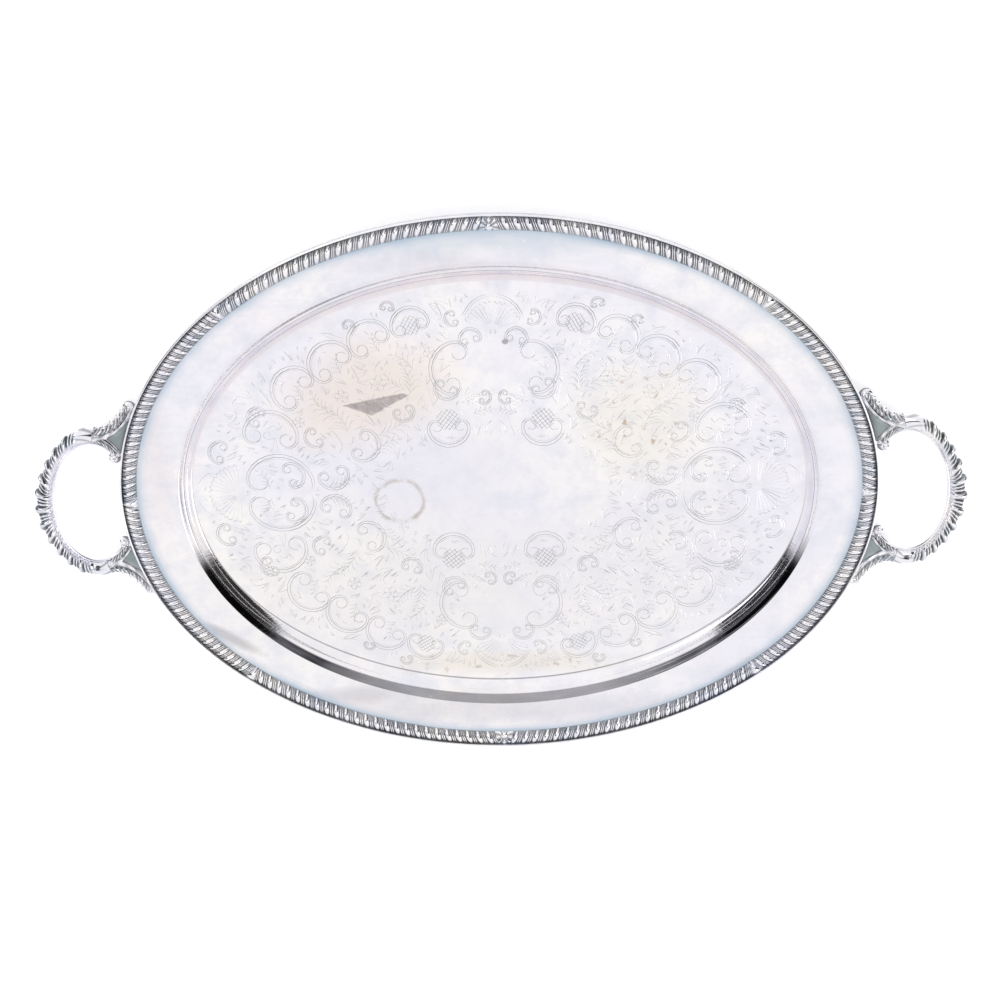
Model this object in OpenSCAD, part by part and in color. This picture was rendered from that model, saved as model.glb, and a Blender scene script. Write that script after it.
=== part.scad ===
// Oval serving tray with a gadroon border and two cast loop handles.
// Millimetres. +Z is up, X runs along the length, and z = 0 is the underside of the well.
// Front is -Y and back is +Y. The left side mirrors the right side.

/* [Tray] */
// Length over the edge band, without the handles
tray_length = 579; // [480:1:700]
// Width over the edge band
tray_width = 438; // [360:1:530]
// Thickness of the sheet
sheet = 1.2; // [0.8:0.1:1.8]
// Height of the rim's upper face under the border
rim_height = 16; // [13:0.5:20]
// How much the rim rises from the lip of the well to the border
rim_rise = 2.2; // [0:0.2:3]

/* [Well] */
// Distance from the band's outside to the lip of the well, at the ends
lip_inset_end = 43.6; // [36:0.2:53]
// Distance from the band's outside to the lip of the well, on the long sides
lip_inset_side = 36.6; // [30:0.2:44]
// Width of the upper step at the ends
step_end = 3.8; // [2:0.2:7]
// Width of the upper step on the long sides
step_side = 6.6; // [4:0.2:10]
// Drop of the upper step
step_drop = 3.5; // [2:0.25:5]
// Width of the cove below the step at the ends
cove_end = 5.4; // [4:0.2:12]
// Width of the cove below the step on the long sides
cove_side = 10.4; // [7:0.2:16]

/* [Border] */
// Width of the border with its edge band
border_width = 12.4; // [10:0.2:15]
// Height of the lobes above the rim
border_rise = 4.4; // [3:0.2:6]
// Number of lobes between two joins
lobes_per_section = 24; // [12:1:26]
// Depth of the valley between two lobes
lobe_depth = 1.1; // [0.4:0.1:1.6]
// Slant of the lobes, in degrees
lobe_slant = 22; // [0:1:30]
// Width of the plain edge band outside the lobes
band_width = 1.6; // [1:0.1:2.4]
// How far the band reaches below the sheet
band_skirt = 2.2; // [1.6:0.1:3]

/* [Joins] */
// Length of the shells at the middle of the long sides
shell_length = 12; // [9:1:18]
// Length of the leaves at the four diagonals
leaf_length = 9; // [7:1:14]
// Length of the stops at the two ends
stop_length = 7; // [5:1:11]
// How far a join stands above the lobes
join_rise = 0.5; // [0:0.1:1.5]
// Radius of the bead at the root of a shell
bead_radius = 2.2; // [1.4:0.1:2.6]

/* [Handles] */
// Depth of the hand-hold, from the band to the inner wire's centre line
hold_depth = 50.8; // [44:0.2:61]
// Width of the hand-hold between the wire's centre lines
hold_width = 98; // [88:1:118]
// Distance from the band to the widest place of the hand-hold
hold_centre = 22; // [18:0.5:26]
// Width of the bow at its middle, without the knobs
bow_middle = 11.2; // [9:0.2:16]
// Width of the bow half way to its shoulders, without the knobs
bow_waist = 8; // [6:0.2:11]
// Width of the bow at its shoulders
bow_shoulder = 11.5; // [9:0.5:14]
// Thickness of the bow
bow_thickness = 9; // [7:0.5:11]
// How far the centre knob stands out of the bow
knob_out = 2.4; // [1:0.2:4]
// Diameter of the plain inner wire
wire_diameter = 2.6; // [2:0.1:3.2]
// Depth of the feet's middle below the rim's upper face
foot_drop = 6; // [4:0.5:6.5]
// Height of the bow's middle above the feet
handle_rise = 16; // [8:1:24]
// Distance between the middles of the two outer scrolls of a handle
feet_spread = 152; // [140:1:168]
// Width of a foot's leaf at its tip
leaf_width = 10; // [8:0.5:12]
// Radius of the ball at the end of a foot's inner branch
volute_radius = 4.2; // [3.5:0.1:5]
// Thickness of the web between a foot's branches
web_thickness = 2.4; // [1.6:0.1:3.2]

/* [Hidden] */
GADROONS = ["gadroon_right_back_end", "gadroon_right_back_side",
            "gadroon_left_back_side", "gadroon_left_back_end",
            "gadroon_left_front_end", "gadroon_left_front_side",
            "gadroon_right_front_side", "gadroon_right_front_end"];
JOINS = ["stop_right", "leaf_right_back", "shell_back", "leaf_left_back",
         "stop_left", "leaf_left_front", "shell_front", "leaf_right_front"];
SIDES = ["right", "left"];
ENDS = ["back", "front"];
BOWS = [for (s = SIDES) str("handle_bow_", s)];
WIRES = [for (s = SIDES) str("handle_wire_", s)];
FEET = [for (s = SIDES) for (e = ENDS) str("handle_foot_", s, "_", e)];
WEBS = [for (s = SIDES) for (e = ENDS) str("handle_web_", s, "_", e)];

sections = 8;              // gadroon sections round the border, with a join before each
facets_per_section = 12;
facets = sections * facets_per_section;
half_length = tray_length / 2;
half_width = tray_width / 2;
facet_length = 2 * PI * sqrt((half_length ^ 2 + half_width ^ 2) / 2) / facets;

// Round-number shares that shape the sections, as parts of a named width or height
step_curve = [[0, 0], [0.18, 0.1], [0.5, 0.5], [0.82, 0.88], [1, 1]];
cove_start = 18;           // the cove leaves the step this steeply, in degrees off upright
cove_angles = [for (k = [1:5]) cove_start + (90 - cove_start) * k / 5];
lobe_curve = [[0, 0.7], [0.12, 0.88], [0.38, 1], [0.62, 0.86], [0.84, 0.52], [0.95, 0.24]];
casting_curve = [[0.2, -0.5], [0.75, -0.5], [0.95, -0.3], [1, 0.05],
                 [0.9, 0.35], [0.66, 0.5], [0.36, 0.46], [0.14, 0.36]];

lip_height = rim_height - rim_rise;
crease_height = lip_height - step_drop;
cove_drop = crease_height - sheet;

// Handle angles are measured round the hand-hold's own oval, from its outermost point
knob_pitch = 14;
handle_step = knob_pitch / 2;
fork_angle = 7 * knob_pitch;
wire_end_angle = fork_angle + 4 * handle_step;
volute_angle = wire_end_angle + handle_step;
hold_x = half_length + hold_centre;
hold_rx = hold_depth - hold_centre;
hold_ry = hold_width / 2;
wire_radius = wire_diameter / 2;
bow_reach = hold_depth + wire_radius + bow_middle;
foot_level = rim_height - foot_drop;
foot_thickness = 0.8 * bow_thickness;
volute_curl = 0.6 * volute_radius;     // how far the ball sits inside the wire's line
volute_width = 1.6 * volute_radius;    // width of the branch where it meets the ball
least_knob = 0.35;                     // the knobs at the shoulders, as a share of knob_out

// A point of the tray's oval, drawn in as far as each inset says; t counts facets from +X
function oval_corner(i, in_x, in_y) = let (a = 360 * i / facets)
    [(half_length - in_x) * cos(a), (half_width - in_y) * sin(a)];
function oval_at(t, in_x, in_y) = let (i = floor(t), p = oval_corner(i, in_x, in_y))
    p + (oval_corner(i + 1, in_x, in_y) - p) * (t - i);
function edge_x(y) = half_length * sqrt(1 - (y / half_width) ^ 2);
function raised(p, z) = [p.x, p.y, z];
function unit(v) = v / norm(v);

// A solid through rings of points; loop joins the last ring to the first
module loft(rings, loop = false) {
    n = len(rings[0]);
    m = len(rings);
    sides = [for (k = [0:m - (loop ? 1 : 2)]) for (j = [0:n - 1])
        let (a = k * n + j, b = k * n + (j + 1) % n, next = ((k + 1) % m) * n,
             c = next + (j + 1) % n, d = next + j)
        each [[a, b, c], [a, c, d]]];
    caps = loop ? [] : [[for (j = [n:-1:1]) j % n], [for (j = [0:n - 1]) (m - 1) * n + j]];
    polyhedron([for (r = rings) each r], concat(sides, caps), convexity = 8);
}

// ---- Tray body: floor, cove, upper step and rim, pressed from one sheet ----

// Each entry is the inset at the ends, the inset on the sides and the height of the upper face
upper_profile = concat(
    [for (k = [4:-1:0]) let (a = cove_angles[k],
            f = 1 - cos(a) / cos(cove_start),
            g = (sin(a) - sin(cove_start)) / (1 - sin(cove_start)))
        [lip_inset_end + step_end + cove_end * f,
         lip_inset_side + step_side + cove_side * f, crease_height - cove_drop * g]],
    [for (k = [4:-1:0]) let (s = step_curve[k])
        [lip_inset_end + step_end * s[0], lip_inset_side + step_side * s[0],
         lip_height - step_drop * s[1]]],
    [[border_width, border_width, rim_height], [band_width, band_width, rim_height]]);

function lower_point(k) = let (last = len(upper_profile) - 1, p = upper_profile[k])
    k == 0 || k >= last - 1 ? [p[0], p[1], p[2] - sheet]
    : let (d = upper_profile[k + 1] - upper_profile[k - 1],
           n = unit([-d[2], (d[0] + d[1]) / 2]) * sheet)
      [p[0] + n[0], p[1] + n[0], p[2] + n[1]];

module tray_body() {
    last = len(upper_profile) - 1;
    lower_profile = [for (k = [last:-1:0]) lower_point(k)];
    color("silver") loft([for (p = concat(upper_profile, lower_profile))
        [for (i = [0:facets - 1]) raised(oval_corner(i, p[0], p[1]), p[2])]]);
}

// ---- Edge band ----

module edge_band() {
    top = rim_height + border_rise - 0.3;
    bottom = rim_height - sheet - band_skirt;
    edge = band_width / 4;
    section = [[edge, bottom], [0, bottom + edge], [0, top - edge], [edge, top],
               [band_width - edge, top], [band_width, top - edge], [band_width, bottom]];
    color("gainsboro") loft([for (i = [0:facets - 1])
        [for (s = section) raised(oval_corner(i, s[0], s[0]), s[1])]], loop = true);
}

// ---- Gadroon border ----

// A border section at t: lean is +1 where its inner end leads, drop sinks it into a valley
// and grow raises it over a join
function border_ring(t, lean, drop = 0, grow = 0) =
    let (width = border_width - band_width,
         top = border_rise - drop + grow,
         profile = concat([[0, 0]], lobe_curve, [[1, 0]]))
    [for (c = profile)
        let (inset = band_width + width * c[0],
             shift = lean * tan(lobe_slant) * (c[0] - 0.5) * width / facet_length)
        raised(oval_at(t + shift, inset, inset), rim_height + top * c[1])];

function join_length(k) = k % 4 == 0 ? stop_length : k % 2 == 1 ? leaf_length : shell_length;
function join_half(k) = join_length(k) / 2 / facet_length;

module gadroon(k) {
    lean = k % 2 == 0 ? 1 : -1;
    start = k * facets_per_section + join_half(k);
    end = (k + 1) * facets_per_section - join_half(k + 1);
    rings = 2 * lobes_per_section;
    color("silver") loft([for (i = [0:rings])
        border_ring(start + (end - start) * i / rings, lean, drop = i % 2 == 0 ? lobe_depth : 0)]);
}

// The shell, leaf or stop over each joint; its ends slant with the lobes beside it
module join(k) {
    lean = k % 2 == 0 ? 1 : -1;
    centre = k * facets_per_section;
    rings = 6;
    bead_inset = border_width - bead_radius / 3;
    bead_height = rim_height + 1.2 * bead_radius;
    color("gainsboro") union() {
        loft([for (i = [0:rings]) let (f = 2 * i / rings - 1)
            border_ring(centre + join_half(k) * f, lean * f, drop = lobe_depth * f ^ 2,
                        grow = join_rise * (1 - f ^ 2))]);
        if (k % 4 == 2)
            translate(raised(oval_at(centre, bead_inset, bead_inset), bead_height))
                sphere(bead_radius, $fn = 24);
    }
}

// ---- Handles ----

// The handle leaves the rim level, climbs through its shoulders and levels out at its tip
function lift(x) = let (q = max(0, min(1, (x - half_length) / bow_reach)))
    foot_level + handle_rise * q ^ 2 * (3 - 2 * q);
function hold_point(a) = [hold_x + hold_rx * cos(a), hold_ry * sin(a)];
function hold_normal(a) = unit([cos(a) / hold_rx, sin(a) / hold_ry]);
function lifted(p, t) = [p.x, p.y, lift(p.x) + t];

// The half-round section of a casting: from s outwards along normal, width by thickness
function casting_ring(origin, normal, s, width, thickness) =
    [for (c = concat([[0, -0.32]], casting_curve, [[0, 0.24]]))
        lifted(origin + normal * (s + c[0] * width), c[1] * thickness)];

function bow_width(a) = let (waist_angle = fork_angle / 2, b = abs(a))
    b < waist_angle ? bow_waist + (bow_middle - bow_waist) * cos(90 * b / waist_angle) ^ 2
    : bow_waist + (bow_shoulder - bow_waist) * sin(90 * (b / waist_angle - 1)) ^ 2;
function knob(a) = knob_out * (least_knob + (1 - least_knob) * cos(90 * a / fork_angle));

module bow() {
    count = 2 * fork_angle / handle_step;
    color("silver") loft([for (i = [0:count])
        let (a = i * handle_step - fork_angle,
             knobbed = i % 2 == 0 && i > 0 && i < count ? knob(a) : 0)
        casting_ring(hold_point(a), hold_normal(a), wire_radius, bow_width(a) + knobbed,
                     bow_thickness)]);
}

module inner_wire() {
    sides = 8;
    corner = wire_radius / cos(180 / sides);
    count = 2 * wire_end_angle / handle_step;
    color("gainsboro") loft([for (i = [0:count])
        let (a = i * handle_step - wire_end_angle)
        [for (j = [0:sides - 1]) let (b = 360 * (j + 0.5) / sides)
            lifted(hold_point(a) + hold_normal(a) * corner * cos(b), corner * sin(b))]]);
}

// The outer branch leaves the bow's end and swings out to its leaf tip on the rim
branch_steps = 8;
leaf_tip = [edge_x(feet_spread / 2) + leaf_width / 2, feet_spread / 2];
branch_start = hold_point(fork_angle)
    + hold_normal(fork_angle) * (wire_radius + bow_shoulder / 2);
fork_direction = [-hold_normal(fork_angle).y, hold_normal(fork_angle).x];
leaf_direction = unit([-0.45, 1]);
branch_pull = norm(leaf_tip - branch_start) / 3;
function branch_point(f) =
    branch_start * (1 - f) ^ 3
    + (branch_start + fork_direction * branch_pull) * 3 * f * (1 - f) ^ 2
    + (leaf_tip - leaf_direction * branch_pull) * 3 * f ^ 2 * (1 - f)
    + leaf_tip * f ^ 3;
function branch_direction(f) =
    f == 0 ? fork_direction
    : f == 1 ? leaf_direction
    : unit(branch_point(f + 0.01) - branch_point(f - 0.01));

// The space the tray and its band take, which the feet and webs stop at
module rim_outline() {
    linear_extrude(height = 3 * rim_height)
        polygon([for (i = [0:facets - 1]) oval_corner(i, 0, 0)]);
}

module foot_blank() {
    inner_steps = (volute_angle - fork_angle) / handle_step;
    loft([for (i = [0:inner_steps])
        let (a = fork_angle + i * handle_step, f = i / inner_steps)
        casting_ring(hold_point(a), hold_normal(a),
                     a > wire_end_angle ? -volute_curl : wire_radius,
                     bow_shoulder + (volute_width - bow_shoulder) * f,
                     bow_thickness + (foot_thickness - bow_thickness) * f)]);
    loft([for (i = [0:branch_steps])
        let (f = i / branch_steps, d = branch_direction(f),
             width = bow_shoulder + (leaf_width - bow_shoulder) * f)
        casting_ring(branch_point(f), [d.y, -d.x], -width / 2, width,
                     bow_thickness + (foot_thickness - bow_thickness) * f)]);
    translate(lifted(leaf_tip, 0)) sphere(foot_thickness / 2, $fn = 24);
    translate(lifted(hold_point(volute_angle) - hold_normal(volute_angle) * volute_curl, 0))
        sphere(volute_radius, $fn = 24);
}

module foot() {
    color("silver") difference() {
        foot_blank();
        rim_outline();
    }
}

// The flat ground between the two branches, from the fork to the band
module web() {
    inner_steps = (volute_angle - fork_angle) / handle_step;
    pairs = [for (i = [1:inner_steps - 1]) let (a = fork_angle + i * handle_step)
        [hold_point(a) + hold_normal(a) * (wire_radius + volute_radius / 2),
         branch_point(i / inner_steps)]];
    last = pairs[len(pairs) - 1];
    under_rim = [-leaf_width, 0];
    ground = concat(pairs, [[last[0] + under_rim, last[1] + under_rim]]);
    color("lightslategray") difference() {
        loft([for (p = ground) [lifted(p[0], -web_thickness / 2), lifted(p[1], -web_thickness / 2),
                                lifted(p[1], web_thickness / 2), lifted(p[0], web_thickness / 2)]]);
        foot_blank();
        rim_outline();
    }
}

// Side 0 is right and 1 is left; end 0 is back and 1 is front
module on_side(side) {
    mirror([side, 0, 0]) children();
}
module on_end(side, end) {
    mirror([side, 0, 0]) mirror([0, end, 0]) children();
}

tray_body();
edge_band();
for (k = [0:sections - 1]) gadroon(k);
for (k = [0:sections - 1]) join(k);
for (s = [0, 1]) on_side(s) bow();
for (s = [0, 1]) on_side(s) inner_wire();
for (s = [0, 1]) for (e = [0, 1]) on_end(s, e) foot();
for (s = [0, 1]) for (e = [0, 1]) on_end(s, e) web();
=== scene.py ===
"""An oval silver-plated serving tray: chased well, gadroon border and two cast handles."""

import math
import random

import bmesh
import bpy
import numpy as np
from bpy.props import FloatProperty, FloatVectorProperty, IntProperty, PointerProperty
from mathutils import Matrix, Vector
from mathutils.geometry import delaunay_2d_cdt
from mathutils.kdtree import KDTree


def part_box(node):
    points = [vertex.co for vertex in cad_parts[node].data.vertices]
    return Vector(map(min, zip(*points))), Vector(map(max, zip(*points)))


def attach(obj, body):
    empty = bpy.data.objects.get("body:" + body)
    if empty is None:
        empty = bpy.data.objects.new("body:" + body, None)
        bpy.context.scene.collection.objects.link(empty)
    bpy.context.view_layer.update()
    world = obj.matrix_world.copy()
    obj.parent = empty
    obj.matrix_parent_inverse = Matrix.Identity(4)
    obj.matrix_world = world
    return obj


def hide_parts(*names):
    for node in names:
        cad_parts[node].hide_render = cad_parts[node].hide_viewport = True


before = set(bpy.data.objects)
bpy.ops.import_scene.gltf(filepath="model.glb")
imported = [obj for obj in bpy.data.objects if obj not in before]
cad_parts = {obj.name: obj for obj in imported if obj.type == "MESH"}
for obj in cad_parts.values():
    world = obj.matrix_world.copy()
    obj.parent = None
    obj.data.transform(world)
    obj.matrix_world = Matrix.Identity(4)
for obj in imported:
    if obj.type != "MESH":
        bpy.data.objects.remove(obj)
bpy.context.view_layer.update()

bl_info = {
    "name": "Oval Gadroon Tray",
    "version": (1, 0, 0),
    "blender": (4, 5, 0),
    "location": "3D View > Sidebar > Tray",
    "description": "Builds a chased oval tray with a gadroon border and cast handles",
    "category": "Object",
}

MM = 0.001
BAND_LOW, BAND_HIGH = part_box("edge_band")
_, BODY_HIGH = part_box("tray_body")
_, BOW_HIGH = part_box("handle_bow_right")

# Millimetres, as the frame's own sizes
HALF_LENGTH = BAND_HIGH.x / MM
HALF_WIDTH = BAND_HIGH.y / MM
RIM_HEIGHT = BODY_HIGH.z / MM
BAND_TOP = BAND_HIGH.z / MM
BAND_FOOT = BAND_LOW.z / MM
AROUND = 384                      # steps round the oval; a multiple of four
FORK = 98.0                       # degrees from a bow's middle to where its feet fork

SIDES = ("right", "left")
ENDS = ("back", "front")
GADROONS = ("right_back_end", "right_back_side", "left_back_side", "left_back_end",
            "left_front_end", "left_front_side", "right_front_side", "right_front_end")
JOINS = ("stop_right", "leaf_right_back", "shell_back", "leaf_left_back",
         "stop_left", "leaf_left_front", "shell_front", "leaf_right_front")


# ---- Meshes ---------------------------------------------------------------------------

class Nodes:
    """Adds nodes to one tree, with inputs given as sockets or values."""

    def __init__(self, tree):
        self.tree = tree
        tree.nodes.clear()

    def add(self, kind, inputs=None, **settings):
        node = self.tree.nodes.new(kind)
        for key, value in settings.items():
            setattr(node, key, value)
        for key, value in (inputs or {}).items():
            socket = node.inputs[key]
            if isinstance(value, bpy.types.NodeSocket):
                self.tree.links.new(value, socket)
            else:
                socket.default_value = value
        return node

    def math(self, operation, a, b=0.0, c=0.0):
        return self.add("ShaderNodeMath", {0: a, 1: b, 2: c}, operation=operation).outputs[0]

    def ramp(self, value, low, high, to_low=0.0, to_high=1.0, kind="LINEAR"):
        return self.add("ShaderNodeMapRange", {
            "Value": value, "From Min": low, "From Max": high, "To Min": to_low,
            "To Max": to_high}, interpolation_type=kind).outputs[0]


class Form:
    """Skins gathered for one piece, with how dark the tarnish lies at each point."""

    def __init__(self):
        self.points, self.faces, self.dark = [], [], []
        self.count = 0

    def add(self, points, faces, dark=0.0):
        points = np.asarray(points, float).reshape(-1, 3)
        self.points.append(points)
        self.dark.append(np.full(len(points), dark) if np.ndim(dark) == 0 else np.ravel(dark))
        self.faces += [tuple(i + self.count for i in face) for face in faces]
        self.count += len(points)

    def skin(self, rings, dark=0.0, loop=False, caps=True):
        """A skin through closed rings of points; loop closes the row of rings too."""
        rings = np.asarray(rings, float)
        rows, across = rings.shape[:2]
        faces = []
        for k in range(rows if loop else rows - 1):
            a, b = k * across, ((k + 1) % rows) * across
            for j in range(across):
                c = (j + 1) % across
                faces.append((a + j, a + c, b + c, b + j))
        if caps and not loop:
            faces.append(tuple(range(across))[::-1])
            faces.append(tuple((rows - 1) * across + j for j in range(across)))
        self.add(rings, faces, dark)

    def ball(self, centre, radius, squash=(1, 1, 1), rows=12, across=20, dark=0.0):
        rings = []
        for k in range(1, rows):
            a = math.pi * k / rows
            rings.append([(centre[0] + radius * squash[0] * math.sin(a) * math.cos(b),
                           centre[1] + radius * squash[1] * math.sin(a) * math.sin(b),
                           centre[2] - radius * squash[2] * math.cos(a))
                          for b in np.linspace(0, math.tau, across, endpoint=False)])
        self.skin(rings, dark)

    def tube(self, path, radii, sides=12, dark=0.0, flat=1.0):
        """A round bar along a path, with its ends drawn in to a dome."""
        path = np.asarray(path, float)
        radii = np.broadcast_to(np.asarray(radii, float), len(path))
        tangent = np.gradient(path, axis=0)
        tangent /= np.linalg.norm(tangent, axis=1)[:, None]
        across = np.cross(tangent, (0, 0, 1.0))
        across /= np.linalg.norm(across, axis=1)[:, None]
        over = np.cross(across, tangent)
        angles = np.linspace(0, math.tau, sides, endpoint=False)
        rings = []
        for end, inner in ((0, 1), (len(path) - 1, -1)):
            dome = []
            for lean in (0.15, 0.5, 0.85):
                pull, size = math.cos(lean * math.pi / 2), math.sin(lean * math.pi / 2)
                centre = path[end] - tangent[end] * inner * radii[end] * pull * 0.8
                dome.append([centre + radii[end] * size * (math.cos(a) * across[end]
                             + flat * math.sin(a) * over[end]) for a in angles])
            rings.append(dome)
        body = [[p + r * (math.cos(a) * s + flat * math.sin(a) * o) for a in angles]
                for p, r, s, o in zip(path, radii, across, over)]
        self.skin(rings[0] + body + rings[1][::-1], dark)

    def mirrored(self, in_x, in_y):
        """The same skins mirrored; mesh() turns the faces out again."""
        other = Form()
        scale = np.array([-1.0 if in_x else 1.0, -1.0 if in_y else 1.0, 1.0])
        other.points = [p * scale for p in self.points]
        other.faces, other.dark, other.count = list(self.faces), list(self.dark), self.count
        return other

    def mesh(self, name, outward=True):
        """A mesh in metres, with the dark attribute on its points."""
        mesh = bpy.data.meshes.new(name)
        mesh.from_pydata((np.concatenate(self.points) * MM).tolist(), [], self.faces)
        attribute = mesh.attributes.new("dark", "FLOAT", "POINT")
        attribute.data.foreach_set("value", np.concatenate(self.dark).astype(np.float32))
        work = bmesh.new()
        work.from_mesh(mesh)
        if outward:
            bmesh.ops.recalc_face_normals(work, faces=work.faces)
        for face in work.faces:
            face.smooth = True
        work.to_mesh(mesh)
        work.free()
        return mesh


def shown(name, mesh, material, slot, *nodes):
    """Puts a finished mesh in the scene in place of the frame's nodes."""
    piece = bpy.data.objects.new(name, mesh)
    bpy.context.scene.collection.objects.link(piece)
    if not mesh.materials:
        mesh.materials.append(material)
    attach(piece, "root")
    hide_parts(*nodes)
    return piece


def shown_four(form, stem, mesh_kind, material, slot):
    """Shows the right back piece of a handle and its three mirror images."""
    for side, side_name in enumerate(SIDES):
        for end, end_name in enumerate(ENDS):
            name = f"{stem}_{side_name}_{end_name}"
            mesh = form.mirrored(side == 1, end == 1).mesh(f"{name}_{mesh_kind}")
            shown("silver_" + name, mesh, material, slot, name)


def oval(t, in_x, in_y):
    """A point of the tray's oval at angle t in radians, drawn in by the insets."""
    return np.stack([(HALF_LENGTH - in_x) * np.cos(t), (HALF_WIDTH - in_y) * np.sin(t)], -1)


def oval_ring(in_x, in_y, z):
    t = np.arange(AROUND) * math.tau / AROUND
    return np.column_stack([oval(t, in_x, in_y), np.full(AROUND, z)])


def smooth_step(f):
    f = np.clip(f, 0, 1)
    return f * f * (3 - 2 * f)


class Edge:
    """The border's base line, measured along its length from the +X end."""

    def __init__(self, inset):
        self.t = np.linspace(0, math.tau, 14401)
        points = oval(self.t, inset, inset)
        self.run = np.concatenate([[0], np.cumsum(np.linalg.norm(np.diff(points, axis=0),
                                                                axis=1))])
        self.inset = inset

    def length_at(self, t):
        return np.interp(t, self.t, self.run)

    def at(self, run):
        """The point and the outward direction at a length along the line."""
        t = np.interp(np.mod(run, self.run[-1]), self.run, self.t)
        out = np.stack([np.cos(t) / (HALF_LENGTH - self.inset),
                        np.sin(t) / (HALF_WIDTH - self.inset)], -1)
        return (oval(t, self.inset, self.inset),
                out / np.linalg.norm(out, axis=-1)[..., None])

    def place(self, run, depth, z):
        """Border places (run along, depth inwards, height) as points in space."""
        base, out = self.at(run)
        flat = base - out * np.asarray(depth)[..., None]
        return np.concatenate([flat, np.broadcast_to(np.asarray(z, float),
                                                     flat.shape[:-1])[..., None]], -1)


# ---- Chasing: the graver's lines in one quarter of the well ----------------------------

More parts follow.
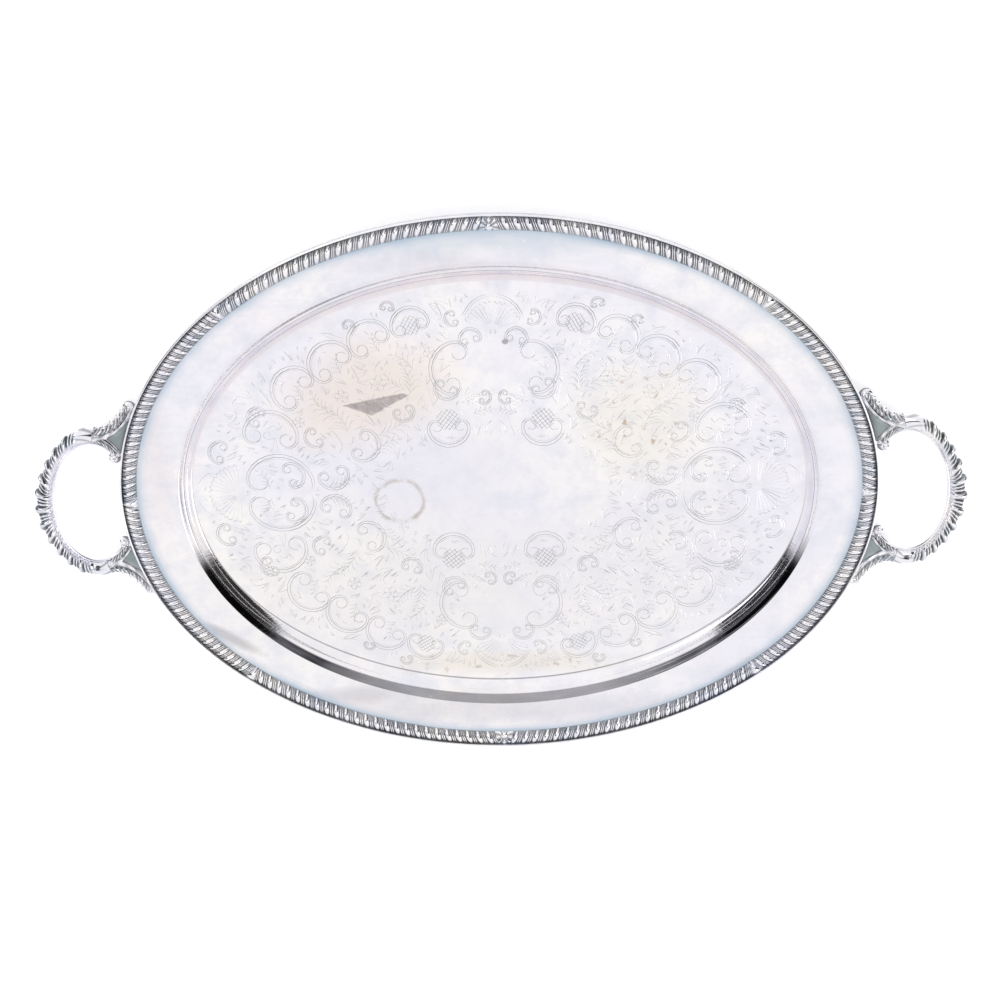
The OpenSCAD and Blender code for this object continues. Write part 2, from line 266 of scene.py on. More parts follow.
class Graver:
    """Tapered V cuts in the quarter x > 0, y > 0, in millimetres."""

    def __init__(self, width, seed):
        self.width = width
        self.cuts = []
        self.cell = 0.5
        self.taken = np.zeros((520, 380), bool)
        self.random = random.Random(seed)
        self.whirls = []

    def cut(self, points, weight=1.0, taper=0.35):
        """Adds one cut along a line, sampled closely only where the line turns."""
        points = np.asarray(points, float)
        legs = np.diff(points, axis=0)
        run = np.concatenate([[0], np.cumsum(np.hypot(*legs.T))])
        if run[-1] < 0.8:
            return
        heading = np.unwrap(np.arctan2(legs[:, 1], legs[:, 0]))
        turned = np.concatenate([[0, 0], np.cumsum(np.abs(np.diff(heading)))])
        effort = run / 12.0 + turned / 0.7
        count = max(4, int(effort[-1]) + 3)
        tip = min(0.1, 0.5 / (count - 1))
        along = effort[-1] * np.concatenate([[0], np.linspace(tip, 1 - tip, count - 2), [1]])
        share = np.interp(along, effort, run) / run[-1]
        points = np.column_stack([np.interp(along, effort, points[:, k]) for k in (0, 1)])
        half = 0.5 * self.width * weight * (1 - taper + taper * np.sin(math.pi * share) ** 0.6)
        keep = (points[:, 0] > 0.02) & (points[:, 1] > 0.02)
        start = None
        for i in range(count + 1):
            if i < count and keep[i]:
                start = i if start is None else start
            elif start is not None:
                if i - start >= 3:
                    self.cuts.append((points[start:i], half[start:i]))
                start = None
        fine = np.linspace(0, count - 1, int(run[-1] / 0.9) + 2)
        for x, y in zip(*(np.interp(fine, np.arange(count), points[:, k]) for k in (0, 1))):
            if min(x, y) > 0.02:
                i, j = int(x / self.cell), int(y / self.cell)
                self.taken[max(0, i - 1):i + 2, max(0, j - 1):j + 2] = True

    def steered(self, x, y, heading, parts, step=0.7):
        """A line that starts at x, y and turns by each part's (length, bend, bend)."""
        points, angle = [(x, y)], math.radians(heading)
        for length, first, last in parts:
            count = max(2, int(abs(length) / step))
            for k in range(count):
                angle += (first + (last - first) * (k + 0.5) / count) * length / count
                x += math.cos(angle) * length / count
                y += math.sin(angle) * length / count
                points.append((x, y))
        return np.array(points)

    def scroll(self, x, y, radius, facing, sweep=150, band=1.9, curl=1.0, weight=1.0):
        """A C scroll: an arc about x, y whose back faces one way, with a volute at each end."""
        self.whirls.append((x, y, radius * (1 if len(self.whirls) % 2 else -1)))
        facing = math.radians(facing)
        middle = (x + radius * math.cos(facing), y + radius * math.sin(facing))
        half = math.radians(sweep) / 2 * radius
        arms = []
        for hand in (1, -1):
            arm = self.steered(*middle, math.degrees(facing) + 90 * hand, [
                (half, hand * 0.9 / radius, hand * 1.1 / radius),
                (radius * 0.55 * curl, hand * 1.1 / radius, hand * 2.8 / radius),
                (radius * 1.5 * curl, hand * 2.8 / radius, hand * 4.6 / radius)])
            arms.append(arm)
        spine = np.concatenate([arms[1][:0:-1], arms[0]])
        heading = np.gradient(spine, axis=0)
        heading /= np.hypot(*heading.T)[:, None] + 1e-9
        side = np.column_stack([heading[:, 1], -heading[:, 0]])
        share = np.linspace(-1, 1, len(spine))[:, None]
        gap = band * (1 - 0.9 * np.abs(share) ** 2.2)
        self.cut(spine, weight * 1.6)
        trim = len(spine) // 7
        self.cut((spine + side * gap)[trim:-trim], weight * 1.3)
        trim = len(spine) // 3
        self.cut((spine - side * gap * 0.6)[trim:-trim], weight * 0.75)

    def ring(self, x, y, radius, weight=1.0):
        a = np.linspace(0, math.tau, 9)
        self.cut(np.column_stack([x + radius * np.cos(a), y + radius * np.sin(a)]), weight,
                 taper=0)

    def leaf(self, x, y, heading, length, width, bend=0.0, weight=0.9):
        """A pointed leaf from its foot to its tip."""
        f = np.linspace(0, 1, 9)
        a = math.radians(heading) + bend * f
        stem = np.column_stack([x + np.cumsum(np.cos(a)) * length / 9,
                                y + np.cumsum(np.sin(a)) * length / 9])
        side = np.column_stack([-np.sin(a), np.cos(a)])
        swell = (width / 2 * np.sin(math.pi * f ** 0.75) ** 0.9)[:, None]
        self.cut(stem + side * swell, weight, taper=0.6)
        self.cut(stem - side * swell, weight, taper=0.6)
        self.cut(stem[1:7], weight * 0.7, taper=0.8)

    def acanthus(self, x, y, heading, length, bend, lobes=5, spread=46, weight=0.9):
        """A curving frond: a stem with hooked strokes that grow shorter to its tip."""
        stem = self.steered(x, y, heading, [(length, bend * 0.4, bend)])
        self.cut(stem, weight)
        for k in range(lobes):
            i = int((k + 0.25) / lobes * (len(stem) - 3)) + 1
            direction = math.degrees(math.atan2(*(stem[i + 1] - stem[i])[::-1]))
            size = length * (0.42 - 0.22 * k / lobes)
            for hand in (1, -1):
                self.cut(self.steered(*stem[i], direction + hand * spread * 0.35, [
                    (size, hand * 0.2 / size, hand * 1.9 / size),
                    (size * 0.22, hand * 3 / size, hand * 9 / size)]), weight, taper=0.85)
        direction = math.degrees(math.atan2(*(stem[-1] - stem[-3])[::-1]))
        self.leaf(*stem[-1], direction, length * 0.2, length * 0.07, bend * 2, weight=weight)

    def flower(self, x, y, radius, weight=0.9):
        self.ring(x, y, radius * 0.22, weight)
        turn = self.random.random() * 72
        for k in range(5):
            a = turn + 72 * k
            self.leaf(x + radius * 0.26 * math.cos(math.radians(a)),
                      y + radius * 0.26 * math.sin(math.radians(a)),
                      a, radius * 0.9, radius * 0.85, weight=weight)

    def lattice(self, x, y, radius_x, radius_y, pitch, turn):
        """Crossed lines clipped to an oval panel."""
        for extra in (0, 90):
            a = math.radians(turn + extra)
            along = np.array([math.cos(a), math.sin(a)])
            across = np.array([-math.sin(a), math.cos(a)])
            reach = max(radius_x, radius_y)
            for offset in np.arange(-reach + pitch / 2, reach, pitch):
                line = np.array([x, y]) + across * offset + along * np.linspace(
                    -reach, reach, 60)[:, None]
                away = (line - (x, y)) / (radius_x, radius_y)
                inside = (away ** 2).sum(1) < 1
                if inside.sum() > 4:
                    self.cut(line[inside], 0.9, taper=0.1)

    def fan(self, x, y, inner, outer, first, last, count, weight=0.9):
        """Rays from a root, each pair joined by a scalloped tip."""
        angles = np.radians(np.linspace(first, last, count + 1))
        for k, a in enumerate(angles):
            wave = np.linspace(inner, outer * 0.9, 12)
            self.cut(np.column_stack([x + wave * np.cos(a), y + wave * np.sin(a)]), weight,
                     taper=0.7)
            if k < count:
                b = np.linspace(a, angles[k + 1], 7)
                r = outer * (0.9 + 0.12 * np.sin(np.linspace(0, math.pi, 7)))
                self.cut(np.column_stack([x + r * np.cos(b), y + r * np.sin(b)]), weight, taper=0.2)

    def free(self, x, y, reach):
        i, j, r = int(x / self.cell), int(y / self.cell), int(reach / self.cell)
        return not self.taken[max(0, i - r):i + r + 1, max(0, j - r):j + r + 1].any()

    def flow(self, x, y):
        """Direction of the leaf work at a point: it winds round the scrolls in turn."""
        around = np.array(self.whirls)
        dx, dy = x - around[:, 0], y - around[:, 1]
        pull = around[:, 2] / (dx * dx + dy * dy + 0.3 * around[:, 2] ** 2)
        return math.atan2((dx * pull).sum(), -(dy * pull).sum())

    def fill(self, inside, length, gap, tries):
        """Flowing strokes with hooked tips wherever the ground is still bare."""
        for _ in range(tries):
            x, y = self.random.uniform(0.5, 232), self.random.uniform(0.5, 162)
            if not inside(x, y) or not self.free(x, y, gap):
                continue
            back, hand = self.random.choice((0, math.pi)), self.random.choice((1, -1))
            reach, line = length * self.random.uniform(0.6, 1.2), [(x, y)]
            while len(line) * 0.8 < reach:
                hook = max(0.0, len(line) * 0.8 / reach - 0.6) * 4.5 * hand
                heading = self.flow(x, y) + back + hook
                x, y = x + 0.8 * math.cos(heading), y + 0.8 * math.sin(heading)
                if not inside(x, y) or not self.free(x, y, gap * 0.5):
                    break
                line.append((x, y))
            if len(line) > 6:
                line = np.array(line)
                size = len(line) * 0.8
                start = math.degrees(math.atan2(*(line[1] - line[0])[::-1]))
                self.cut(line, 0.92, taper=0.45)
                for turn in (26, 52)[:1 + (size > 6)]:
                    self.cut(self.steered(*line[1], start - hand * turn, [
                        (size * 0.45, 0.3 * hand / size, 1.5 * hand / size),
                        (size * 0.14, 3 * hand / size, 9 * hand / size)]), 0.80, taper=0.4)


def chased_quarter(width, seed, blank):
    """The whole pattern of one quarter: cartouches, scrolls, lattices and leaf work."""
    g = Graver(width, seed)
    # Top cartouche: a blank shield between tall scrolls, under an arch and a shell
    g.scroll(26, 98, 21, 12, sweep=120, band=2.2, curl=0.8)
    g.scroll(17, 121, 8, 75, sweep=140, band=1.6)
    g.scroll(36, 84, 9, -60, sweep=140, band=1.6)
    g.cut([(24 * math.sin(a), 131 + 25 * math.cos(a)) for a in np.linspace(0, 1.25, 30)], 1.1)
    g.cut([(22.4 * math.sin(a), 131 + 23 * math.cos(a)) for a in np.linspace(0, 1.25, 30)], 0.9)
    g.fan(0, 128, 5, 22, 20, 90, 7)
    g.ring(0.6, 127, 1.6)
    g.scroll(29, 138, 6, -20, sweep=140, band=1.3)
    # Scroll with a lattice that holds the lower corner of the shield
    g.scroll(36, 53, 15, -92, sweep=140, band=2.4, curl=0.9)
    g.lattice(36, 58, 9.5, 9, 2.7, 38)
    g.acanthus(18, 62, 150, 17, 0.05, lobes=4)
    g.acanthus(10, 80, -50, 15, 0.07, lobes=4)
    g.scroll(9, 76, 5.5, 200, sweep=130, band=1.2)
    # Chain of scrolls and panels round the edge
    g.scroll(61, 132, 14, 70, sweep=140, band=2.0)
    g.lattice(61, 133, 8, 8, 2.6, 30)
    g.scroll(92, 121, 15.5, 52, sweep=160, band=2.2)
    g.acanthus(84, 112, 40, 15, 0.09, lobes=4)
    g.scroll(122, 104, 16.5, 46, sweep=165, band=2.3)
    g.acanthus(114, 95, 50, 16, 0.08, lobes=4)
    g.scroll(151, 84, 17, 38, sweep=165, band=2.3)
    g.acanthus(144, 74, 45, 16, 0.09, lobes=4)
    g.scroll(78, 146, 5, 100, sweep=130, band=1.2)
    g.scroll(107, 133, 4.5, 80, sweep=130, band=1.1)
    g.scroll(181, 62, 8, 30, sweep=145, band=1.6)
    g.lattice(183, 66, 5, 6, 2.5, 20)
    # End cartouche: a round field with a fan, held by two long scrolls
    g.scroll(173, 46, 20, 100, sweep=150, band=2.4, curl=0.8)
    g.scroll(169, 4, 26, 100, sweep=125, band=2.4, curl=0.75)
    g.scroll(160, 14, 10, 160, sweep=140, band=1.8)
    g.scroll(216, 0, 20, 20, sweep=140, band=2.2, curl=0.7)
    g.fan(200, 0, 4, 24, 0, 88, 9)
    g.scroll(212, 34, 9, 20, sweep=140, band=1.6)
    g.acanthus(176, 3, 75, 17, -0.05, lobes=4)
    # Inner spray that leads from the end cartouche to the middle
    g.scroll(127, 15, 11.5, 250, sweep=145, band=1.9)
    g.acanthus(133, 4, 170, 22, -0.03, lobes=5)
    g.scroll(103, 39, 12.5, 205, sweep=145, band=2.0)
    g.acanthus(96, 28, 120, 26, 0.05, lobes=5)
    g.acanthus(112, 48, 75, 26, -0.045, lobes=5)
    g.acanthus(92, 46, 165, 30, -0.03, lobes=5)
    g.acanthus(120, 62, 20, 26, 0.05, lobes=5)
    g.scroll(138, 46, 8, 330, sweep=140, band=1.5)
    g.acanthus(64, 78, 100, 24, -0.05, lobes=5)
    g.acanthus(66, 82, 20, 24, 0.05, lobes=5)
    g.acanthus(60, 98, 60, 20, -0.06, lobes=4)
    g.scroll(70, 66, 8, 250, sweep=140, band=1.5)
    g.flower(88, 88, 6)
    g.flower(116, 78, 5.2)
    g.flower(48, 112, 4.6)
    g.flower(150, 58, 4.4)

    def inside(x, y):
        well = (x / 229) ** 2 + (y / 158) ** 2 < 1
        middle = (x / blank[0]) ** 2 + (y / blank[1]) ** 2 < 1
        shield = (x / 27) ** 2 + ((y - 100) / 19) ** 2 < 1
        return well and not middle and not shield

    g.fill(inside, 24, 2.5, 3000)
    g.fill(inside, 15, 2.2, 3000)
    g.fill(inside, 9, 2.0, 2500)
    return g.cuts


def chased_floor(cuts, depth, half_x, half_y, height):
    """A quarter of the floor with its grooves: its points, faces and share of full depth."""
    rim = np.arange(AROUND // 4 + 1) * math.tau / AROUND
    outline = [(0.0, 0.0)] + [(half_x * math.cos(t), half_y * math.sin(t)) for t in rim]
    outline[1], outline[-1] = (half_x, 0.0), (0.0, half_y)
    points = [Vector(p) for p in outline]
    edges = [(i, (i + 1) % len(points)) for i in range(len(points))]
    centre_points, centre_half, centre_fade = [], [], []
    for line, half in cuts:
        inside = (line[:, 0] / (half_x - 2)) ** 2 + (line[:, 1] / (half_y - 2)) ** 2 < 1
        if not inside.all():
            continue
        heading = np.gradient(line, axis=0)
        heading /= np.hypot(*heading.T)[:, None] + 1e-9
        side = np.column_stack([-heading[:, 1], heading[:, 0]]) * half[:, None]
        for row in (line + side, line, line - side):
            row = np.maximum(row, 0.004)
            start = len(points)
            points += [Vector(p) for p in row]
            edges += [(start + i, start + i + 1) for i in range(len(row) - 1)]
        index = np.arange(len(line))
        run = np.concatenate([[0], np.cumsum(np.hypot(*np.diff(line, axis=0).T))])
        fine = np.interp(np.arange(0, run[-1], 0.12), run, index)
        centre_points.append(np.column_stack([np.interp(fine, index, line[:, k]) for k in (0, 1)]))
        centre_half.append(np.interp(fine, index, half))
        ends = np.clip(np.minimum(fine, index[-1] - fine), 0, 1)
        centre_fade.append(ends * np.clip(centre_half[-1] / 0.22, 0.3, 1))
    flat, _, triangles, _, _, _ = delaunay_2d_cdt(points, edges, [], 0, 1e-4)
    flat = np.array([tuple(p) for p in flat])
    centre_points, centre_half = np.concatenate(centre_points), np.concatenate(centre_half)
    centre_fade = np.concatenate(centre_fade)
    tree = KDTree(len(centre_points))
    for i, (x, y) in enumerate(centre_points):
        tree.insert((x, y, 0), i)
    tree.balance()
    cut = np.zeros(len(flat))
    for i, (x, y) in enumerate(flat):
        _, index, distance = tree.find((x, y, 0))
        cut[i] = max(0.0, 1 - distance / (centre_half[index] * 0.92)) * centre_fade[index]
        cut[i] *= min(x, y) > 0.01
    space = np.column_stack([flat, height - depth * cut])
    faces = np.array([face for face in triangles if (flat[list(face)].mean(0) > 0).all()])
    cross = np.cross(flat[faces[:, 1]] - flat[faces[:, 0]], flat[faces[:, 2]] - flat[faces[:, 0]])
    faces[cross < 0] = faces[cross < 0][:, ::-1]
    faces = faces[np.abs(cross) > 1e-9]
    return space, faces, cut


# ---- Body -----------------------------------------------------------------------------

def body_profile(sizes):
    """Insets at the ends and sides and heights, from the floor's edge out to the band."""
    step_x, step_y = sizes.lip_end + sizes.step_end, sizes.lip_side + sizes.step_side
    lip = sizes.lip_height
    crease = lip - sizes.step_drop
    steep = math.radians(18)
    rows = []
    for a in np.linspace(math.pi / 2, steep, 15):
        f = 1 - math.cos(a) / math.cos(steep)
        g = (math.sin(a) - math.sin(steep)) / (1 - math.sin(steep))
        rows.append((step_x + sizes.cove_end * f, step_y + sizes.cove_side * f,
                     crease - (crease - sizes.sheet) * g))
    for f in np.linspace(0.94, 0, 14):
        rows.append((sizes.lip_end + sizes.step_end * f, sizes.lip_side + sizes.step_side * f,
                     lip - sizes.step_drop * smooth_step(f)))
    for f in np.linspace(0.05, 1, 8):
        rows.append((sizes.lip_end + (sizes.border - sizes.lip_end) * f,
                     sizes.lip_side + (sizes.border - sizes.lip_side) * f,
                     lip + (RIM_HEIGHT - lip) * (0.75 * f + 0.25 * f * f)))
    rows.append((1.5, 1.5, RIM_HEIGHT))
    return rows


def build_body(sizes, finish):
    rows = body_profile(sizes)
    form = Form()
    rings = [oval_ring(*row) for row in rows]
    border_start = len(rows) - 2
    front = -np.sin(np.arange(AROUND) * math.tau / AROUND)      # 1 at the front, -1 at the back
    rosy = np.clip(0.8 - 2 * front, 0, 1)
    dark, film = [], []
    for k in range(len(rows)):
        dark += [max(0.0, min(1.0, (k - border_start + 1.9) / 1.9)) ** 1.6] * AROUND
        level = 0.30 + 0.05 * k if 1 <= k < 15 else 0.16 if k < 29 else 0.0
        film += (level * rosy).tolist()
    under = [rows[-1], rows[-2], *rows[-3:0:-4], rows[0]]
    lower = [(x, y, z - sizes.sheet) for x, y, z in under]
    inward = [0.9 if 1 < k < len(lower) - 1 else 0 for k in range(len(lower))]
    lower = [(x + more, y + more, z) for more, (x, y, z) in zip(inward, lower)]
    lower_rings = [oval_ring(*row) for row in lower]
    form.skin(rings + lower_rings, dark + [0.0] * (AROUND * len(lower)), caps=False)
    last = len(rows) + len(lower) - 1
    form.faces.append(tuple(last * AROUND + j for j in range(AROUND)))
    cuts = chased_quarter(sizes.cut_width, sizes.cut_seed, (sizes.blank_x, sizes.blank_y))
    space, faces, cut = chased_floor(cuts, sizes.cut_depth, HALF_LENGTH - rows[0][0],
                                     HALF_WIDTH - rows[0][1], rows[0][2])
    groove = Form()
    for sx, sy in ((1, 1), (-1, 1), (-1, -1), (1, -1)):
        turned = faces if sx * sy > 0 else faces[:, ::-1]
        groove.add(space * (sx, sy, 1), turned.tolist(), cut)
    wall_count = form.count
    mesh = bpy.data.meshes.new("chased_body")
    points = np.concatenate(form.points + groove.points) * MM
    faces_all = form.faces + [tuple(i + wall_count for i in f) for f in groove.faces]
    mesh.from_pydata(points.tolist(), [], faces_all)
    shade, cuts_at, films, steps = np.zeros((4, len(points)), np.float32)
    shade[:wall_count] = np.concatenate(form.dark)
    cuts_at[wall_count:] = np.concatenate(groove.dark)
    films[:len(film)] = film
    # Painted reflection and painted shade: the front of the stepped lip is painted dark as a mirrored
    # dark band, a little lighter at the very front, and painted shade lies in the crease between the
    # cove and the step all round and at the floor's edge, strongest at the front
    lip_painted_reflection = np.clip((front - 0.2) / 0.15, 0, 1) * (1 - 0.38 * np.clip((front - 0.80) / 0.16, 0, 1))
    steps[15 * AROUND:28 * AROUND] = np.tile(lip_painted_reflection, 13)
    steps[14 * AROUND:15 * AROUND] = 0.75
    steps[AROUND:2 * AROUND] = np.clip(front * 1.5 + 0.2, 0, 0.75)
    for name, values in (("dark", shade), ("cut", cuts_at), ("film", films), ("painted_reflection_shade", steps)):
        mesh.attributes.new(name, "FLOAT", "POINT").data.foreach_set("value", values)
    smooth = np.zeros(len(faces_all), bool)
    smooth[:len(form.faces) - 1] = True
    mesh.polygons.foreach_set("use_smooth", smooth)
    work = bmesh.new()
    work.from_mesh(mesh)
    bmesh.ops.remove_doubles(work, verts=work.verts, dist=2e-6)
    bmesh.ops.recalc_face_normals(work, faces=work.faces)
    work.to_mesh(mesh)
    work.free()
    return shown("silver_tray_body", mesh, well_silver(finish), "plated_sheet", "tray_body")


# ---- Border ---------------------------------------------------------------------------

def border_height(depth, width, rise):
    """Height of the border over the rim, from the band at depth 0 to the rim at its width."""
    share = np.clip(np.asarray(depth, float) / width, 0, 1)
    return rise * np.interp(share, (0, 0.1, 0.22, 0.38, 0.52, 0.64, 0.78, 0.9, 1.0),
                            (0.60, 0.82, 0.95, 1.0, 0.97, 0.86, 0.64, 0.38, 0.05))


def lobe_mesh(name, lean, sizes):
    """One repeat of the gadroon: a teardrop lobe and two reeds, slanting one way.
    Local axes: -X runs inwards from the band, +Y runs along the border."""
    width = sizes.border - sizes.band_width
    slant = lean * math.tan(math.radians(sizes.slant))
    form = Form()

    def place(depth, along, lift, dark):
        along = along + slant * (depth - width / 2)
        form_height = border_height(depth, width, sizes.rise)
        # Tarnish and painted shade: points are painted darker near the band and, through the dark
        # value each ridge gives, down the flanks of the ridges
        shade = 0.62 * (1 - smooth_step((depth / width - 0.10) / 0.28))
        return (-depth, along, RIM_HEIGHT + form_height * lift), max(dark, shade)

    def ridge(centre, half_widths, lifts, rows, across):
        points, darks = [], []
        for depth, half, lift in zip(rows, half_widths, lifts):
            for c in np.linspace(-1, 1, across):
                swell = math.sqrt(max(0.0, 1 - c * c))
                point, dark = place(depth, centre + c * half,
                                    sizes.valley + (lift - sizes.valley) * swell, 1 - swell)
                points.append(point)
                darks.append(min(1.0, dark * 1.1))
        across_faces = [(k * across + j, k * across + j + 1, (k + 1) * across + j + 1,
                         (k + 1) * across + j)
                        for k in range(len(rows) - 1) for j in range(across - 1)]
        form.add(points, across_faces, darks)

    shares = np.array([0.0, 0.08, 0.2, 0.34, 0.48, 0.62, 0.76, 0.88, 0.95, 1.0])
    fat = np.array([0.62, 0.78, 0.90, 0.98, 1.0, 0.96, 0.84, 0.62, 0.40, 0.06])
    lift = np.array([0.70, 0.92, 1.0, 1.03, 1.05, 1.08, 1.15, 1.25, 1.2, 0.6])
    pitch = sizes.lobe_pitch
    ridge(-pitch * 0.18, fat * pitch * 0.31, lift, shares * width, 7)
    reed_rows = np.array([0.0, 0.1, 0.3, 0.5, 0.7, 0.86, 0.97])
    reed_fat = np.array([1.0, 1.05, 0.95, 0.85, 0.8, 0.75, 0.4])
    for offset in (0.21, 0.39):
        ridge(pitch * offset, reed_fat * pitch * 0.085,
              np.array([0.72, 0.9, 0.9, 0.88, 0.92, 1.0, 0.8]), reed_rows * width, 4)
    mesh = form.mesh(name, outward=False)
    if sum(p.normal.z for p in mesh.polygons) < 0:
        mesh.flip_normals()
    return mesh


def group_nodes(name, inputs):
    """A new geometry node group: its nodes and the sockets of its inputs."""
    tree = bpy.data.node_groups.new(name, "GeometryNodeTree")
    for label, kind in inputs:
        tree.interface.new_socket(label, in_out="INPUT", socket_type="NodeSocket" + kind)
    tree.interface.new_socket("Geometry", in_out="OUTPUT", socket_type="NodeSocketGeometry")
    nodes = Nodes(tree)
    return nodes, nodes.add("NodeGroupInput").outputs


def group_end(nodes, geometry, material):
    """Makes the group's geometry real, paints it and hands it out."""
    real = nodes.add("GeometryNodeRealizeInstances", {"Geometry": geometry})
    paint = nodes.add("GeometryNodeSetMaterial", {"Geometry": real.outputs[0],
                                                  "Material": material})
    nodes.add("NodeGroupOutput", {"Geometry": paint.outputs[0]})
    return nodes.tree


def gadroon_tree():
    """Instances a lobe on each point, turned and stretched to fit its place."""
    nodes, given = group_nodes("gadroon_row", (("Ground", "Geometry"), ("Lobe", "Object"),
                                               ("Places", "Object"), ("Material", "Material")))
    lobe, places = (nodes.add("GeometryNodeObjectInfo", {"Object": given[key]})
                    .outputs["Geometry"] for key in ("Lobe", "Places"))
    turn, stretch = (nodes.add("GeometryNodeInputNamedAttribute", {"Name": key},
                               data_type="FLOAT").outputs["Attribute"]
                     for key in ("turn", "stretch"))
    points = nodes.add("GeometryNodeMeshToPoints", {"Mesh": places}).outputs[0]
    row = nodes.add("GeometryNodeInstanceOnPoints", {
        "Points": points, "Instance": lobe,
        "Rotation": nodes.add("ShaderNodeCombineXYZ", {"Z": turn}).outputs[0],
        "Scale": nodes.add("ShaderNodeCombineXYZ", {"X": 1, "Y": stretch, "Z": 1}).outputs[0]})
    join = nodes.add("GeometryNodeJoinGeometry", {0: given["Ground"]})
    nodes.tree.links.new(row.outputs[0], join.inputs[0])
    return group_end(nodes, join.outputs[0], given["Material"])


def sweep_tree():
    """Runs a round bar along a path."""
    nodes, given = group_nodes("plain_wire", (("Path", "Geometry"), ("Radius", "Float"),
                                              ("Sides", "Int"), ("Material", "Material")))
    curve = nodes.add("GeometryNodeMeshToCurve", {"Mesh": given["Path"]}).outputs[0]
    circle = nodes.add("GeometryNodeCurvePrimitiveCircle", {
        "Radius": given["Radius"], "Resolution": given["Sides"]}).outputs[0]
    bar = nodes.add("GeometryNodeCurveToMesh", {"Curve": curve, "Profile Curve": circle,
                                                "Fill Caps": True}).outputs[0]
    smooth = nodes.add("GeometryNodeSetShadeSmooth", {"Geometry": bar}).outputs[0]
    return group_end(nodes, smooth, given["Material"])


def grown(name, carrier, tree, values):
    """The plain mesh that a tree makes from a carrier mesh and named inputs."""
    holder = bpy.data.objects.new(name + "_holder", carrier)
    bpy.context.scene.collection.objects.link(holder)
    modifier = holder.modifiers.new(name, "NODES")
    modifier.node_group = tree
    for item in tree.interface.items_tree:
        if item.item_type == "SOCKET" and item.in_out == "INPUT" and item.name in values:
            modifier[item.identifier] = values[item.name]
    bpy.context.view_layer.update()
    graph = bpy.context.evaluated_depsgraph_get()
    mesh = bpy.data.meshes.new_from_object(holder.evaluated_get(graph), depsgraph=graph)
    mesh.name = name
    holder.modifiers.remove(modifier)
    bpy.data.objects.remove(holder)
    return mesh


def join_length(k, sizes):
    return (sizes.stop_length, sizes.leaf_length, sizes.shell_length, sizes.leaf_length)[k % 4]


def build_gadroons(sizes, finish):
    edge = Edge(sizes.band_width)
    width = sizes.border - sizes.band_width
    silver = border_silver(finish)
    tree = gadroon_tree()
    lobes = {}
    for lean in (1, -1):
        lobes[lean] = bpy.data.objects.new(f"lobe_{lean}", lobe_mesh(f"lobe_{lean}", lean, sizes))
        bpy.context.scene.collection.objects.link(lobes[lean])
    for k, place in enumerate(GADROONS):
        lean = 1 if k % 2 == 0 else -1
        first = edge.length_at(math.radians(45 * k)) + join_length(k, sizes) / 2
        last = edge.length_at(math.radians(45 * (k + 1))) - join_length(k + 1, sizes) / 2
        pitch = (last - first) / sizes.lobes
        runs = first + pitch * (np.arange(sizes.lobes) + 0.5)
        base, out = edge.at(runs)
        points = bpy.data.meshes.new("places")
        points.from_pydata([(x * MM, y * MM, 0) for x, y in base], [], [])
        points.attributes.new("turn", "FLOAT", "POINT").data.foreach_set(
            "value", np.arctan2(out[:, 1], out[:, 0]).astype(np.float32))
        points.attributes.new("stretch", "FLOAT", "POINT").data.foreach_set(
            "value", np.full(sizes.lobes, pitch / sizes.lobe_pitch, np.float32))
        spots = bpy.data.objects.new("places", points)
        bpy.context.scene.collection.objects.link(spots)
        ground = Form()
        rings = []
        for run in np.linspace(first - 2.2, last + 2.2, 60):
            depths = np.array([0, 0.2, 1.2, 3, 5, 7, 9, width, width, 0])
            heights = RIM_HEIGHT + border_height(depths, width, sizes.rise) * sizes.valley
            heights[-3:] = RIM_HEIGHT - 0.05
            rings.append(edge.place(np.full(10, run) + lean * math.tan(math.radians(sizes.slant))
                                    * (depths - width / 2), depths, heights))
        # Tarnish and painted shade: the ground between the lobes is painted fully dark
        ground.skin(rings, 1.0)
        mesh = grown(f"gadroon_{place}_lobes", ground.mesh("ground"), tree, {
            "Lobe": lobes[lean], "Places": spots, "Material": silver})
        bpy.data.objects.remove(spots)
        shown(f"silver_gadroon_{place}", mesh, silver, "plated_border", "gadroon_" + place)
    for lobe in lobes.values():
        bpy.data.objects.remove(lobe)


